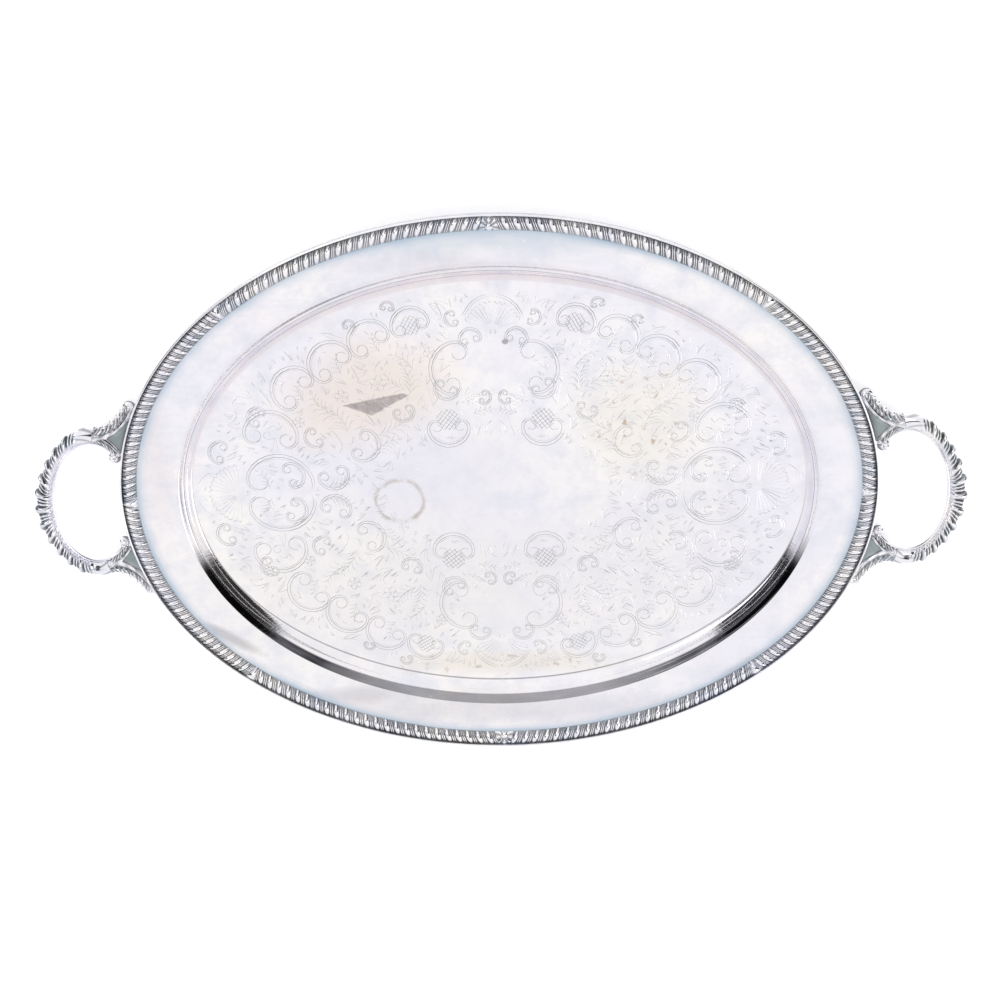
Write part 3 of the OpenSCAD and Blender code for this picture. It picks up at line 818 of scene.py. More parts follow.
def build_joins(sizes, finish):
    edge = Edge(sizes.band_width)
    width = sizes.border - sizes.band_width
    silver = border_silver(finish)
    for k, name in enumerate(JOINS):
        half = join_length(k, sizes) / 2
        centre = edge.length_at(math.radians(45 * k))
        lean = 1 if k % 2 == 0 else -1
        kind = name.split("_")[0]
        form = Form()
        along = np.linspace(-1, 1, 61)
        depths = np.linspace(0, width, 34)
        u, depth = np.meshgrid(along, depths, indexing="ij")
        slant = math.tan(math.radians(sizes.slant)) * (depth - width / 2)
        spot = u * half + lean * slant * u
        share = depth / width
        top = border_height(depth, width, sizes.rise)
        if kind == "shell":
            root = width * 0.70
            angle = np.arctan2(spot, root - depth + 1e-6)
            reach = np.hypot(spot, root - depth)
            flute = 0.5 + 0.5 * np.cos(angle * 9)
            fade = smooth_step((reach - 2.0) / 1.5)
            lift = 0.62 + 0.30 * flute * fade
            dark = np.clip(1 - flute * fade, 0, 1)
        else:
            leaf = kind == "leaf"
            arm = half * (0.95 - 0.80 * share if leaf else 0.30 + 0.62 * share)
            petal = np.clip(1 - (np.abs(spot) / arm) ** 2, 0, 1) ** 0.5
            reed = 0.5 + 0.5 * np.cos((np.abs(spot) - arm) * math.tau / 1.6)
            lift = np.where(petal > 0, 0.62 + (0.52 if leaf else 0.45) * petal,
                            0.60 + 0.22 * reed)
            dark = np.where(petal > 0, 1 - petal, 1 - reed)
        heights = RIM_HEIGHT + top * lift
        surface = edge.place(centre + spot, depth, heights)
        floor = surface.copy()
        floor[..., 2] = RIM_HEIGHT - 0.05
        shell = np.concatenate([surface, floor[:, ::-1]], axis=1)
        # Tarnish and painted shade: the hollows between flutes, petals and reeds are painted dark,
        # and the join's underside fully dark
        form.skin(shell, np.concatenate([dark, np.ones_like(dark)], axis=1))
        if kind == "shell":
            for depth_at, radius, share in ((width * 0.72, sizes.bead, 0.45),
                                            (width * 0.22, 1.5, 0.75)):
                level = RIM_HEIGHT + border_height(depth_at, width, sizes.rise) * share
                spot_at = edge.place(np.array([centre]), np.array([depth_at]), level)
                form.ball(spot_at[0], radius, (1, 1, 0.8), rows=14, across=24)
        shown("silver_" + name, form.mesh(name), silver, "plated_border", name)


def build_band(sizes, finish):
    profile = [(0.30, BAND_FOOT), (0.06, BAND_FOOT + 0.25), (0.0, BAND_FOOT + 0.8),
               (0.10, BAND_FOOT + 1.2), (0.34, BAND_FOOT + 1.6), (0.40, BAND_FOOT + 3.2),
               (0.32, BAND_TOP - 2.0), (0.10, BAND_TOP - 1.6), (0.0, BAND_TOP - 1.15),
               (0.0, BAND_TOP - 0.7), (0.12, BAND_TOP - 0.3), (0.40, BAND_TOP - 0.06),
               (0.75, BAND_TOP), (1.1, BAND_TOP - 0.08), (1.38, BAND_TOP - 0.3),
               (1.52, BAND_TOP - 0.8), (1.55, RIM_HEIGHT), (1.55, BAND_FOOT + 0.5),
               (1.3, BAND_FOOT)]
    form = Form()
    rings = np.stack([oval_ring(x, x, z) for x, z in profile], axis=1)
    # Tarnish and painted shade: the band is left bright along its top, greyer down its outer face and
    # darkest on its inner face against the border
    dark = np.tile([0.5, 0.4, 0.4, 0.5, 0.7, 0.5, 0.4, 0.35, 0.3, 0.25, 0.15, 0, 0, 0.1, 0.6,
                    1, 1, 1, 0.6], AROUND)
    form.skin(rings, dark, loop=True)
    shown("silver_edge_band", form.mesh("edge_band_wire"), wire_silver(finish), "plated_wire",
          "edge_band")


# ---- Handles --------------------------------------------------------------------------

class Hold:
    """The oval of a hand-hold, measured from the middle of the right handle."""

    def __init__(self, sizes):
        self.x = HALF_LENGTH + sizes.hold_centre
        self.rx = sizes.hold_depth - sizes.hold_centre
        self.ry = sizes.hold_width / 2
        self.level = sizes.foot_level
        self.rise = sizes.handle_rise
        self.reach = BOW_HIGH.x / MM - HALF_LENGTH - sizes.knob

    def point(self, a):
        a = np.radians(a)
        return np.stack([self.x + self.rx * np.cos(a), self.ry * np.sin(a)], -1)

    def normal(self, a):
        a = np.radians(a)
        n = np.stack([np.cos(a) / self.rx, np.sin(a) / self.ry], -1)
        return n / np.linalg.norm(n, axis=-1)[..., None]

    def height(self, x):
        return self.level + self.rise * smooth_step((np.asarray(x) - HALF_LENGTH) / self.reach)

    def lifted(self, flat, up):
        flat = np.asarray(flat, float)
        return np.concatenate([flat, (self.height(flat[..., 0]) + up)[..., None]], -1)


def lobe_wave(phase):
    """One knob and two ribs in each unit of phase, as a ridge height from 0 to 1."""
    p = np.mod(phase, 1.0)

    def ridge(centre, half):
        gap = np.abs(p - centre)
        gap = np.minimum(gap, 1 - gap)
        return np.sqrt(np.clip(1 - (gap / half) ** 2, 0, 1))

    knob = ridge(0.0, 0.22)
    thin = [ridge(0.395, 0.115), ridge(0.645, 0.105)]
    return (np.maximum.reduce([knob, 0.74 * thin[0], 0.66 * thin[1]]), knob,
            np.maximum.reduce([knob, *thin]))


def build_bows(sizes, finish):
    hold = Hold(sizes)
    pitch, plain_from = 14.0, 84.0                 # degrees round the bow
    a = np.linspace(-FORK, FORK, 701)
    turns = np.linspace(0, math.tau, 57)[:-1]
    angle, turn = np.meshgrid(a, turns, indexing="ij")
    across = 0.5 - 0.5 * np.cos(turn)              # 0 at the wire, 1 at the outer edge
    off = np.abs(angle)
    lean = 9.0 * (across - 0.9)
    phase = (off - lean * smooth_step(off / 20)) / pitch
    ribs, knob, crest = lobe_wave(phase)
    ripple = smooth_step((plain_from - off) / 8)   # plain sheath towards the shoulders
    ribs, knob = ribs * ripple, knob * ripple
    waist = FORK / 2
    width = np.where(off < waist,
                     sizes.bow_waist + (sizes.bow_middle - sizes.bow_waist)
                     * np.cos(np.pi / 2 * np.clip(off / waist, 0, 1)) ** 2,
                     sizes.bow_waist + (sizes.bow_shoulder - sizes.bow_waist)
                     * np.sin(np.pi / 2 * np.clip(off / waist - 1, 0, 1)) ** 2)
    grow = sizes.knob * (0.35 + 0.65 * np.cos(np.pi / 2 * off / FORK))
    body = width + grow * (knob - 0.25 * ripple) * smooth_step((across - 0.45) / 0.5)
    plain = 1 - 0.14 * (1 - ribs) * ripple
    fullness = np.sign(np.sin(turn)) * np.abs(np.sin(turn)) ** 0.8
    shell = smooth_step((9 - off) / 4)             # the centre shell stands a little higher
    bump = (0.42 * (ribs - 1) * ripple + 0.02 * shell) * np.where(fullness > 0, 1, 0.5)
    twist = np.cos(off * 0.22 + across * 9)
    vein = (1 - ripple) * 0.05 * twist
    up = sizes.bow_thick / 2 * fullness * (1 + bump + vein) * plain
    reach = sizes.wire / 2 - 0.25 + across * body
    flat = hold.point(angle) + hold.normal(angle) * reach[..., None]
    points = hold.lifted(flat, up)
    # Tarnish and painted shade: the gaps between the ribs are painted dark, more towards the outer
    # edge, and so are the folds of the plain sheath
    gaps = (1.3 - 1.25 * crest ** 2) * smooth_step((across - 0.12) / 0.4)
    folds = 0.6 * smooth_step(-1.5 - 2.5 * twist)
    dark = np.clip(gaps * ripple + folds * (1 - ripple), 0, 1)
    silver = cast_silver(finish)
    points[..., 0] = np.minimum(points[..., 0], BOW_HIGH.x / MM - 0.02)
    points[..., 2] = np.minimum(points[..., 2], BOW_HIGH.z / MM - 0.03)
    for side, name in enumerate(SIDES):
        form = Form()
        form.skin(points, dark)
        if side:
            form = form.mirrored(True, False)
        shown(f"silver_handle_bow_{name}", form.mesh(f"bow_{name}"), silver, "plated_casting",
              f"handle_bow_{name}")


def build_wires(sizes, finish):
    hold = Hold(sizes)
    silver = wire_silver(finish)
    tree = sweep_tree()
    a = np.linspace(-126, 126, 181)
    path = hold.lifted(hold.point(a), 0)
    for side, name in enumerate(SIDES):
        points = path * ((-1 if side else 1), 1, 1) * MM
        carrier = bpy.data.meshes.new("wire_path")
        carrier.from_pydata(points.tolist(), [(i, i + 1) for i in range(len(points) - 1)], [])
        mesh = grown(f"handle_wire_{name}_bar", carrier, tree, {
            "Radius": sizes.wire / 2 * MM, "Sides": 16, "Material": silver})
        mesh.attributes.new("dark", "FLOAT", "POINT")
        shown(f"silver_handle_wire_{name}", mesh, silver, "plated_wire", f"handle_wire_{name}")


def branch_path(hold, sizes):
    """The outer branch's middle line from the bow's end to the leaf tip on the band."""
    start = hold.point(FORK) + hold.normal(FORK) * (sizes.wire / 2 + sizes.bow_shoulder / 2)
    tip_y = sizes.feet_spread / 2
    tip_x = HALF_LENGTH * math.sqrt(1 - (tip_y / HALF_WIDTH) ** 2) + sizes.leaf_width / 2
    tip = np.array([tip_x, tip_y])
    n = hold.normal(FORK)
    first = np.array([-n[1], n[0]])
    last = np.array([-0.45, 1]) / math.hypot(0.45, 1)
    pull = np.linalg.norm(tip - start) / 3
    f = np.linspace(0, 1, 61)[:, None]
    return (start * (1 - f) ** 3 + (start + first * pull) * 3 * f * (1 - f) ** 2
            + (tip - last * pull) * 3 * f ** 2 * (1 - f) + tip * f ** 3)


def leaf_branch(form, hold, path, widths, thick, scallops, outer_side, depth=0.26):
    """A leafy arm along a path: ribbed across its top and scalloped on one side."""
    count = len(path)
    heading = np.gradient(path, axis=0)
    heading /= np.linalg.norm(heading, axis=1)[:, None]
    side = np.column_stack([heading[:, 1], -heading[:, 0]]) * outer_side
    turns = np.linspace(0, math.tau, 41)[:-1]
    f = np.linspace(0, 1, count)
    share, turn = np.meshgrid(f, turns, indexing="ij")
    across = -np.cos(turn)
    wave = np.abs(np.sin(math.pi * scallops * (share - 0.10 * across)))
    out = np.where(across > 0, across * (0.80 + depth * wave), across)
    rib = 0.5 + 0.5 * np.cos(math.tau * (scallops * 2 * share - 1.6 * across))
    rounded = np.sign(np.sin(turn)) * np.abs(np.sin(turn)) ** 0.75
    crease = np.exp(-((across + 0.15) / 0.14) ** 2)
    up = thick[:, None] / 2 * rounded * (1 - 0.30 * (1 - rib) * (across > -0.1)
                                         - 0.34 * crease * (rounded > 0))
    flat = path[:, None] + side[:, None] * (out * widths[:, None] / 2)[..., None]
    # Tarnish and painted shade: the crease, the grooves between the ribs and the notches between the
    # scallops are painted dark
    dark = np.clip(1.1 * crease + 1.1 * (1 - rib) * (across > -0.1) + 0.5 * (1 - wave), 0, 1)
    form.skin(hold.lifted(flat, up), dark)


def spiral(form, hold, centre, radius, start, turns, hand, thick, rise):
    """A scroll: a tapering bar wound inwards, standing on a low disc."""
    f = np.linspace(0, 1, 40)
    a = math.radians(start) + hand * f * turns * math.tau
    r = radius * (1 - 0.86 * f)
    flat = np.column_stack([centre[0] + r * np.cos(a), centre[1] + r * np.sin(a)])
    form.tube(hold.lifted(flat, rise * f), thick * (1 - 0.45 * f), 12, dark=0.05)
    level = float(hold.height(centre[0]))
    form.ball((centre[0], centre[1], level + rise), thick * 0.75, rows=10, across=14)
    # Tarnish and painted shade: the low disc under the scroll is painted dark
    form.ball((centre[0], centre[1], level - 0.4), radius + thick * 0.5, (1, 1, 0.42), dark=0.9,
              rows=12, across=28)


def build_feet(sizes, finish):
    hold = Hold(sizes)
    silver = cast_silver(finish)
    end = 131.0                                    # degrees, where the inner branch ends
    path = branch_path(hold, sizes)
    tip = path[-1]
    form = Form()
    f = np.linspace(0, 1, len(path))
    widths = sizes.bow_shoulder + (sizes.leaf_width - 1.0 - sizes.bow_shoulder) * f
    widths = widths * (1 - 0.12 * np.sin(math.pi * f))
    thick = sizes.bow_thick + (0.8 * sizes.bow_thick - sizes.bow_thick) * f
    leaf_branch(form, hold, path, widths, thick, 5, 1)
    a = np.linspace(FORK, end, 41)
    g = (a - FORK) / (end - FORK)
    inner_width = sizes.bow_shoulder * 0.66 + (sizes.volute * 1.7 - sizes.bow_shoulder * 0.66) * g
    inner = hold.point(a) + hold.normal(a) * (sizes.wire / 2 - 0.4 + inner_width / 2
                                              - 1.4 * smooth_step(g))[:, None]
    leaf_branch(form, hold, inner, inner_width, sizes.bow_thick * (0.95 - 0.25 * g), 3, -1, 0.10)
    spiral(form, hold, tip + (0.1, -0.6), 4.3, -80, 1.4, 1, 2.1, 1.6)
    buds = ((0.30, 5.2, 2.3), (0.52, 5.0, 2.5), (0.72, 4.6, 2.4), (0.88, 4.4, 2.2))
    for along, reach, size in buds:
        i = int(along * (len(path) - 1))
        d = path[i + 1] - path[i - 1]
        d /= np.linalg.norm(d)
        n = np.array([d[1], -d[0]])
        spot = path[i] + n * reach * 0.86
        level = float(hold.height(spot[0]))
        form.ball((spot[0], spot[1], level + 0.7), size, (1, 1, 0.9), rows=10, across=16)
    volute = hold.point(133.0) - hold.normal(133.0) * 0.6 * sizes.volute
    spiral(form, hold, volute + hold.normal(133.0) * 2.0, 3.9, 150, 1.3, -1, 2.0, 1.7)
    form.ball((volute[0], volute[1], float(hold.height(volute[0])) + 0.6), sizes.volute * 0.78,
              (1, 1, 1.0))
    shown_four(form, "handle_foot", "casting", silver, "plated_casting")


def build_webs(sizes, finish):
    hold = Hold(sizes)
    ground = ground_silver()
    path = branch_path(hold, sizes)
    a = np.linspace(104, 131, 25)
    f = (a - FORK) / 33.0
    inner = hold.point(a) + hold.normal(a) * (sizes.wire / 2 + sizes.volute * 0.4)
    outer = np.column_stack([np.interp(f, np.linspace(0, 1, len(path)), path[:, k])
                             for k in (0, 1)])
    share = np.linspace(0, 1, 25)
    top, low, dark = [], [], []
    for i, (p, q) in enumerate(zip(inner, outer)):
        line = p + (q - p) * share[:, None]
        edge_x = HALF_LENGTH * np.sqrt(1 - (line[:, 1] / HALF_WIDTH) ** 2) - 0.1
        line[:, 0] = np.maximum(line[:, 0], edge_x)
        vein = np.exp(-((share - 0.5) / 0.09) ** 2) * 1.1 * math.sin(math.pi * (i + 4) / 29)
        side_rib = 0.25 * np.cos(share * 26 + i * 0.35) ** 2
        top.append(hold.lifted(line, sizes.web / 2 - 0.25 + vein + side_rib * (vein < 0.4)))
        low.append(hold.lifted(line, np.full(25, -sizes.web / 2)))
        # Tarnish and painted shade: the ground is painted darker away from the raised vein, and its
        # underside fully dark
        dark.append(np.clip(0.75 - vein, 0.1, 1))
    tail = [row.copy() for row in (top[-1], low[-1])]
    top, low = np.array(top + [tail[0]]), np.array(low + [tail[1]])
    top[-1, :, 0] = HALF_LENGTH * np.sqrt(1 - (top[-1, :, 1] / HALF_WIDTH) ** 2) - 0.1
    low[-1, :, 0] = top[-1, :, 0]
    dark.append(np.ones(25))
    form = Form()
    rings = np.concatenate([top, low[:, ::-1]], axis=1)
    form.skin(rings, np.concatenate([np.array(dark), np.ones((26, 25))], axis=1))
    shown_four(form, "handle_web", "ground", ground, "tarnished_ground")


# ---- Finishes -------------------------------------------------------------------------

class Finish(Nodes):
    """One material and the nodes that its patterns are made of."""

    def __init__(self, name):
        self.material = bpy.data.materials.new(name)
        self.material.use_nodes = True
        super().__init__(self.material.node_tree)
        self.shader = self.add("ShaderNodeBsdfPrincipled")
        self.add("ShaderNodeOutputMaterial", {"Surface": self.shader.outputs["BSDF"]})
        self.place = self.add("ShaderNodeTexCoord").outputs["Object"]
        height = self.add("ShaderNodeSeparateXYZ", {0: self.place}).outputs["Z"]
        self.upper = self.ramp(height, 0.4 * MM, 0.9 * MM)      # 0 on the underside of a floor

    def attribute(self, name):
        return self.add("ShaderNodeAttribute", attribute_name=name).outputs["Fac"]

    def noise(self, scale, detail=4.0, rough=0.55, stretch=None, turn=0.0):
        place = self.place
        if stretch:
            place = self.add("ShaderNodeMapping", {"Vector": place, "Rotation": (0, 0, turn),
                                                   "Scale": stretch}).outputs[0]
        return self.add("ShaderNodeTexNoise", {"Vector": place, "Scale": scale, "Detail": detail,
                                               "Roughness": rough}).outputs["Fac"]

    def mix(self, factor, first, second):
        node = self.add("ShaderNodeMix", data_type="RGBA")
        for index, value in ((0, factor), (6, first), (7, second)):
            socket = node.inputs[index]
            if isinstance(value, bpy.types.NodeSocket):
                self.tree.links.new(value, socket)
            else:
                socket.default_value = (*value, 1.0) if index and len(value) == 3 else value
        return node.outputs[2]

    def over(self, colour, mask, strength, tone):
        """A colour laid over another where a mask says, at some strength."""
        return self.mix(self.math("MULTIPLY", mask, strength), colour, tone)

    def spot(self, centre, size, turn=0.0, ragged=0.35, soft=0.25, fine=40.0):
        """1 inside an oval patch with a ragged edge, falling to 0 outside it."""
        local = self.add("ShaderNodeMapping", {
            "Vector": self.place, "Location": (centre[0] * MM, centre[1] * MM, 0),
            "Rotation": (0, 0, math.radians(turn)),
            "Scale": (size[0] * MM, size[1] * MM, 1)}, vector_type="TEXTURE").outputs[0]
        flat = self.add("ShaderNodeVectorMath", {0: local, 1: (1, 1, 0)}, operation="MULTIPLY")
        away = self.add("ShaderNodeVectorMath", {0: flat.outputs[0]}, operation="LENGTH")
        wave = self.math("MULTIPLY_ADD", self.noise(fine, 5.0, 0.6), ragged * 2, -ragged)
        patch = self.ramp(self.math("ADD", away.outputs["Value"], wave), 1 + soft, 1 - soft)
        return self.math("MULTIPLY", patch, self.upper)

    def corner(self, points, ragged, soft, fine):
        """1 inside a patch with straight sides, given its corners anticlockwise in millimetres."""
        wave = self.math("MULTIPLY_ADD", self.noise(fine, 4.0, 0.6), ragged * 2, -ragged)
        total = self.upper
        for (ax, ay), (bx, by) in zip(points, points[1:] + points[:1]):
            nx, ny = by - ay, ax - bx
            size = math.hypot(nx, ny)
            nx, ny = nx / size, ny / size
            away = self.add("ShaderNodeVectorMath", {0: self.place, 1: (nx / MM, ny / MM, 0)},
                            operation="DOT_PRODUCT").outputs["Value"]
            depth = self.math("SUBTRACT", away, ax * nx + ay * ny)
            side = self.ramp(self.math("ADD", depth, wave), soft, -soft)
            total = self.math("MULTIPLY", total, side)
        return total

    def bump(self, height, strength, distance, under=None):
        under = {"Normal": under} if under else {}
        return self.add("ShaderNodeBump", {"Height": height, "Strength": strength,
                                           "Distance": distance, **under}).outputs[0]

    def set(self, **values):
        for key, value in values.items():
            socket = self.shader.inputs[key.replace("_", " ")]
            if isinstance(value, bpy.types.NodeSocket):
                self.tree.links.new(value, socket)
            else:
                socket.default_value = (*value, 1.0) if isinstance(value, tuple) else value
        return self.material


def scratches(f, amount):
    """Fine wear lines in four directions, as a height."""
    total = None
    for turn in (0.3, 1.1, 1.9, 2.7):
        line = f.ramp(f.noise(1.0, 2.0, 0.5, (9, 900, 200), turn), 0.60, 0.72)
        total = line if total is None else f.math("ADD", total, line)
    return f.math("MULTIPLY", total, amount)


def tinted(f, finish):
    """Silver that drifts between a cool lilac and a warm cream."""
    cool = f.ramp(f.noise(7.0, 5.0, 0.6), 0.40, 0.60)
    base = f.mix(cool, finish.silver_warm, finish.silver_cool)
    base = f.mix(f.ramp(f.noise(24.0, 6.0, 0.65), 0.40, 0.70, 0.0, 0.6), base,
                 finish.silver_pink)
    smear = f.ramp(f.noise(1.0, 4.0, 0.6, (9, 45, 9), 0.25), 0.52, 0.72, 0.0, 0.5)
    base = f.mix(smear, base, finish.silver_blue)
    mottle = f.ramp(f.noise(48.0, 7.0, 0.7), 0.44, 0.66, 0.0, 0.65)
    return f.mix(mottle, base, finish.silver_blue)


def well_silver(finish):
    f = Finish("chased_sheet_silver")
    colour = tinted(f, finish)
    dark, cut = f.attribute("dark"), f.attribute("cut")
    spots = f.noise(120.0, 6.0, 0.65)
    # Where old polish, food and heat have marked the plate
    for centre, size, strength, tone in (
            ((-80, -84), (150, 62), 0.42, (0.84, 0.80, 0.76)),
            ((130, -60), (80, 80), 0.24, (0.84, 0.80, 0.77)),
            ((10, 200), (130, 10), 0.42, (0.50, 0.60, 0.68)),
            ((-40, 182), (60, 7), 0.35, (0.62, 0.60, 0.66)),
            ((0, -187), (165, 11), 0.50, (0.66, 0.63, 0.66)),
            ((-120, -172), (40, 6), 0.45, (0.55, 0.52, 0.55)),
            ((-262, 40), (12, 70), 0.30, (0.84, 0.74, 0.70))):
        haze = f.spot(centre, size, 0, 0.8, 0.6, 26.0)
        colour = f.over(colour, haze, strength, tone)
    brown = f.spot((-98, 80), (58, 38), 12, 0.45, 0.45, 18.0)
    colour = f.over(colour, brown, 0.62, (0.88, 0.76, 0.66))
    yellow = f.spot((108, 56), (42, 40), 0, 0.55, 0.45, 20.0)
    colour = f.over(colour, yellow, 0.40, (0.88, 0.82, 0.70))
    speck = f.math("MULTIPLY", yellow, f.ramp(spots, 0.60, 0.68))
    colour = f.over(colour, speck, 0.7, (0.48, 0.34, 0.24))
    film = f.spot((-3, -151), (76, 9), 0, 0.5, 0.5, 22.0)
    colour = f.over(colour, film, 0.5, (0.82, 0.76, 0.64))
    colour = f.mix(f.math("MULTIPLY", f.math("MULTIPLY", film, f.ramp(spots, 0.58, 0.66)), 0.6),
                   colour, (0.42, 0.32, 0.24))
    wedge = f.corner([(-116, 71), (-94, 62.5), (-65, 78.5), (-70, 80)], 0.8, 0.5, 220.0)
    wedge = f.math("MULTIPLY", wedge, f.ramp(f.noise(150.0, 4.0), 0.25, 0.55, 0.55, 1.0))
    colour = f.over(colour, wedge, 0.75, (0.34, 0.30, 0.30))
    ring = f.math("SUBTRACT", f.spot((-76, -8), (20, 19), 0, 0.16, 0.07, 60.0),
                  f.spot((-76, -8), (17.5, 16), 0, 0.20, 0.07, 60.0))
    ring = f.math("MAXIMUM", ring, 0.0)
    colour = f.mix(f.math("MULTIPLY", ring, f.ramp(f.noise(75.0), 0.46, 0.55, 0.20, 1.0)),
                   colour, (0.46, 0.38, 0.28))
    haze = f.spot((-50, 14), (84, 36), 8, 0.6, 0.6, 16.0)
    colour = f.over(colour, haze, 0.55, (0.80, 0.79, 0.86))
    point = f.spot((8.8, 119), (2.4, 2.0), 0, 0.2, 0.2, 200.0)
    colour = f.over(colour, point, 0.7, (0.30, 0.26, 0.26))
    for centre, size, turn in (((-217, -118), (24, 4), -32), ((201, -144), (34, 4), 33)):
        smear = f.spot(centre, size, turn, 0.5, 0.5, 50.0)
        colour = f.over(colour, smear, 0.55, (0.40, 0.38, 0.40))
    # Rose film in the cove, painted reflection and painted shade in dark bands on the step and in the
    # creases, blue film in the corner under the border, and dark grime in the graver's cuts
    colour = f.mix(f.attribute("film"), colour, finish.cove_rose)
    # Painted reflection and painted shade: near-black bands laid on the front of the step and along
    # the creases
    painted_reflection_shade = f.math("MULTIPLY", f.attribute("painted_reflection_shade"), f.ramp(f.noise(30.0, 5.0, 0.6, (1, 1, 9)),
                                                         0.3, 0.7, 0.88, 1.0))
    colour = f.mix(painted_reflection_shade, colour, (0.035, 0.035, 0.045))
    edge = f.math("MULTIPLY", dark, f.ramp(f.noise(16.0, 4.0), 0.25, 0.65, 0.35, 1.0))
    colour = f.mix(edge, colour, finish.rim_blue)
    grime = f.math("POWER", cut, 0.7)
    grime = f.math("MULTIPLY", grime, f.ramp(f.noise(22.0), 0.3, 0.7, 0.55, 1.0))
    colour = f.over(colour, grime, finish.cut_grime, finish.cut_tone)
    white = f.ramp(f.noise(260.0, 3.0, 0.5), 0.70, 0.76)
    colour = f.over(colour, white, 0.5, (0.98, 0.98, 0.98))
    marks = f.math("MAXIMUM", f.math("MAXIMUM", brown, yellow), film)
    rough = f.math("ADD", f.ramp(f.noise(11.0, 5.0), 0.3, 0.7, 0.06, 0.13),
                   f.math("MULTIPLY", marks, 0.12))
    rough = f.math("ADD", rough, f.math("MULTIPLY", grime, 0.25))
    rolling = f.bump(f.noise(5.0, 2.0), 0.30, 0.004)
    worn = f.bump(scratches(f, 0.25), 0.14, 0.0003, rolling)
    pits = f.bump(f.noise(420.0, 3.0), 0.05, 0.0002, worn)
    return f.set(Base_Color=colour, Metallic=1.0, Roughness=rough, Normal=pits)


def relief_silver(name, finish, deep, rough_low, rough_high, fall=1.5):
    """Cast and stamped work: bright crests over dark hollows."""
    f = Finish(name)
    colour = tinted(f, finish)
    dark = f.attribute("dark")
    # Tarnish and painted shade: the hollows are painted near black, deeper than their tarnish alone
    hollow = f.math("POWER", dark, fall)
    hollow = f.math("MULTIPLY", hollow, f.ramp(f.noise(40.0, 4.0), 0.25, 0.7, 0.6, 1.0))
    colour = f.over(colour, hollow, deep, finish.hollow_tarnish_and_shade_tone)
    bloom = f.ramp(f.noise(55.0, 4.0), 0.5, 0.75, 0.0, 0.25)
    colour = f.mix(bloom, colour, finish.rim_blue)
    rough = f.math("ADD", f.ramp(f.noise(90.0, 4.0), 0.3, 0.7, rough_low, rough_high),
                   f.math("MULTIPLY", hollow, 0.25))
    worn = f.bump(f.noise(700.0, 3.0), 0.10, 0.0002)
    return f.set(Base_Color=colour, Metallic=1.0, Roughness=rough, Normal=worn)


def border_silver(finish):
    return cached("border_silver", lambda: relief_silver("gadroon_silver", finish,
                                                         finish.border_tarnish_and_shade, 0.07, 0.16))


def cast_silver(finish):
    return cached("cast_silver", lambda: relief_silver("cast_handle_silver", finish,
                                                       finish.cast_tarnish_and_shade, 0.05, 0.12, 0.9))


def wire_silver(finish):
    return cached("wire_silver", lambda: relief_silver("plain_wire_silver", finish, 0.6, 0.10,
                                                       0.18))


def ground_silver():
    f = Finish("sunk_ground_tarnish")
    dark = f.attribute("dark")
    colour = f.mix(f.ramp(f.noise(60.0, 5.0), 0.3, 0.7), (0.34, 0.40, 0.40), (0.52, 0.58, 0.57))
    # Tarnish and painted shade: darker where the web's dark value says, over the teal tarnish of the
    # ground
    colour = f.over(colour, dark, 0.55, (0.16, 0.19, 0.20))
    matt = f.bump(f.noise(900.0, 3.0), 0.25, 0.0002)
    return f.set(Base_Color=colour, Metallic=0.85, Roughness=f.ramp(f.noise(120.0), 0.3, 0.7,
                                                                    0.40, 0.58), Normal=matt)


MADE = {}


def cached(name, make):
    if name not in MADE:
        MADE[name] = make()
    return MADE[name]


# ---- Stage ----------------------------------------------------------------------------

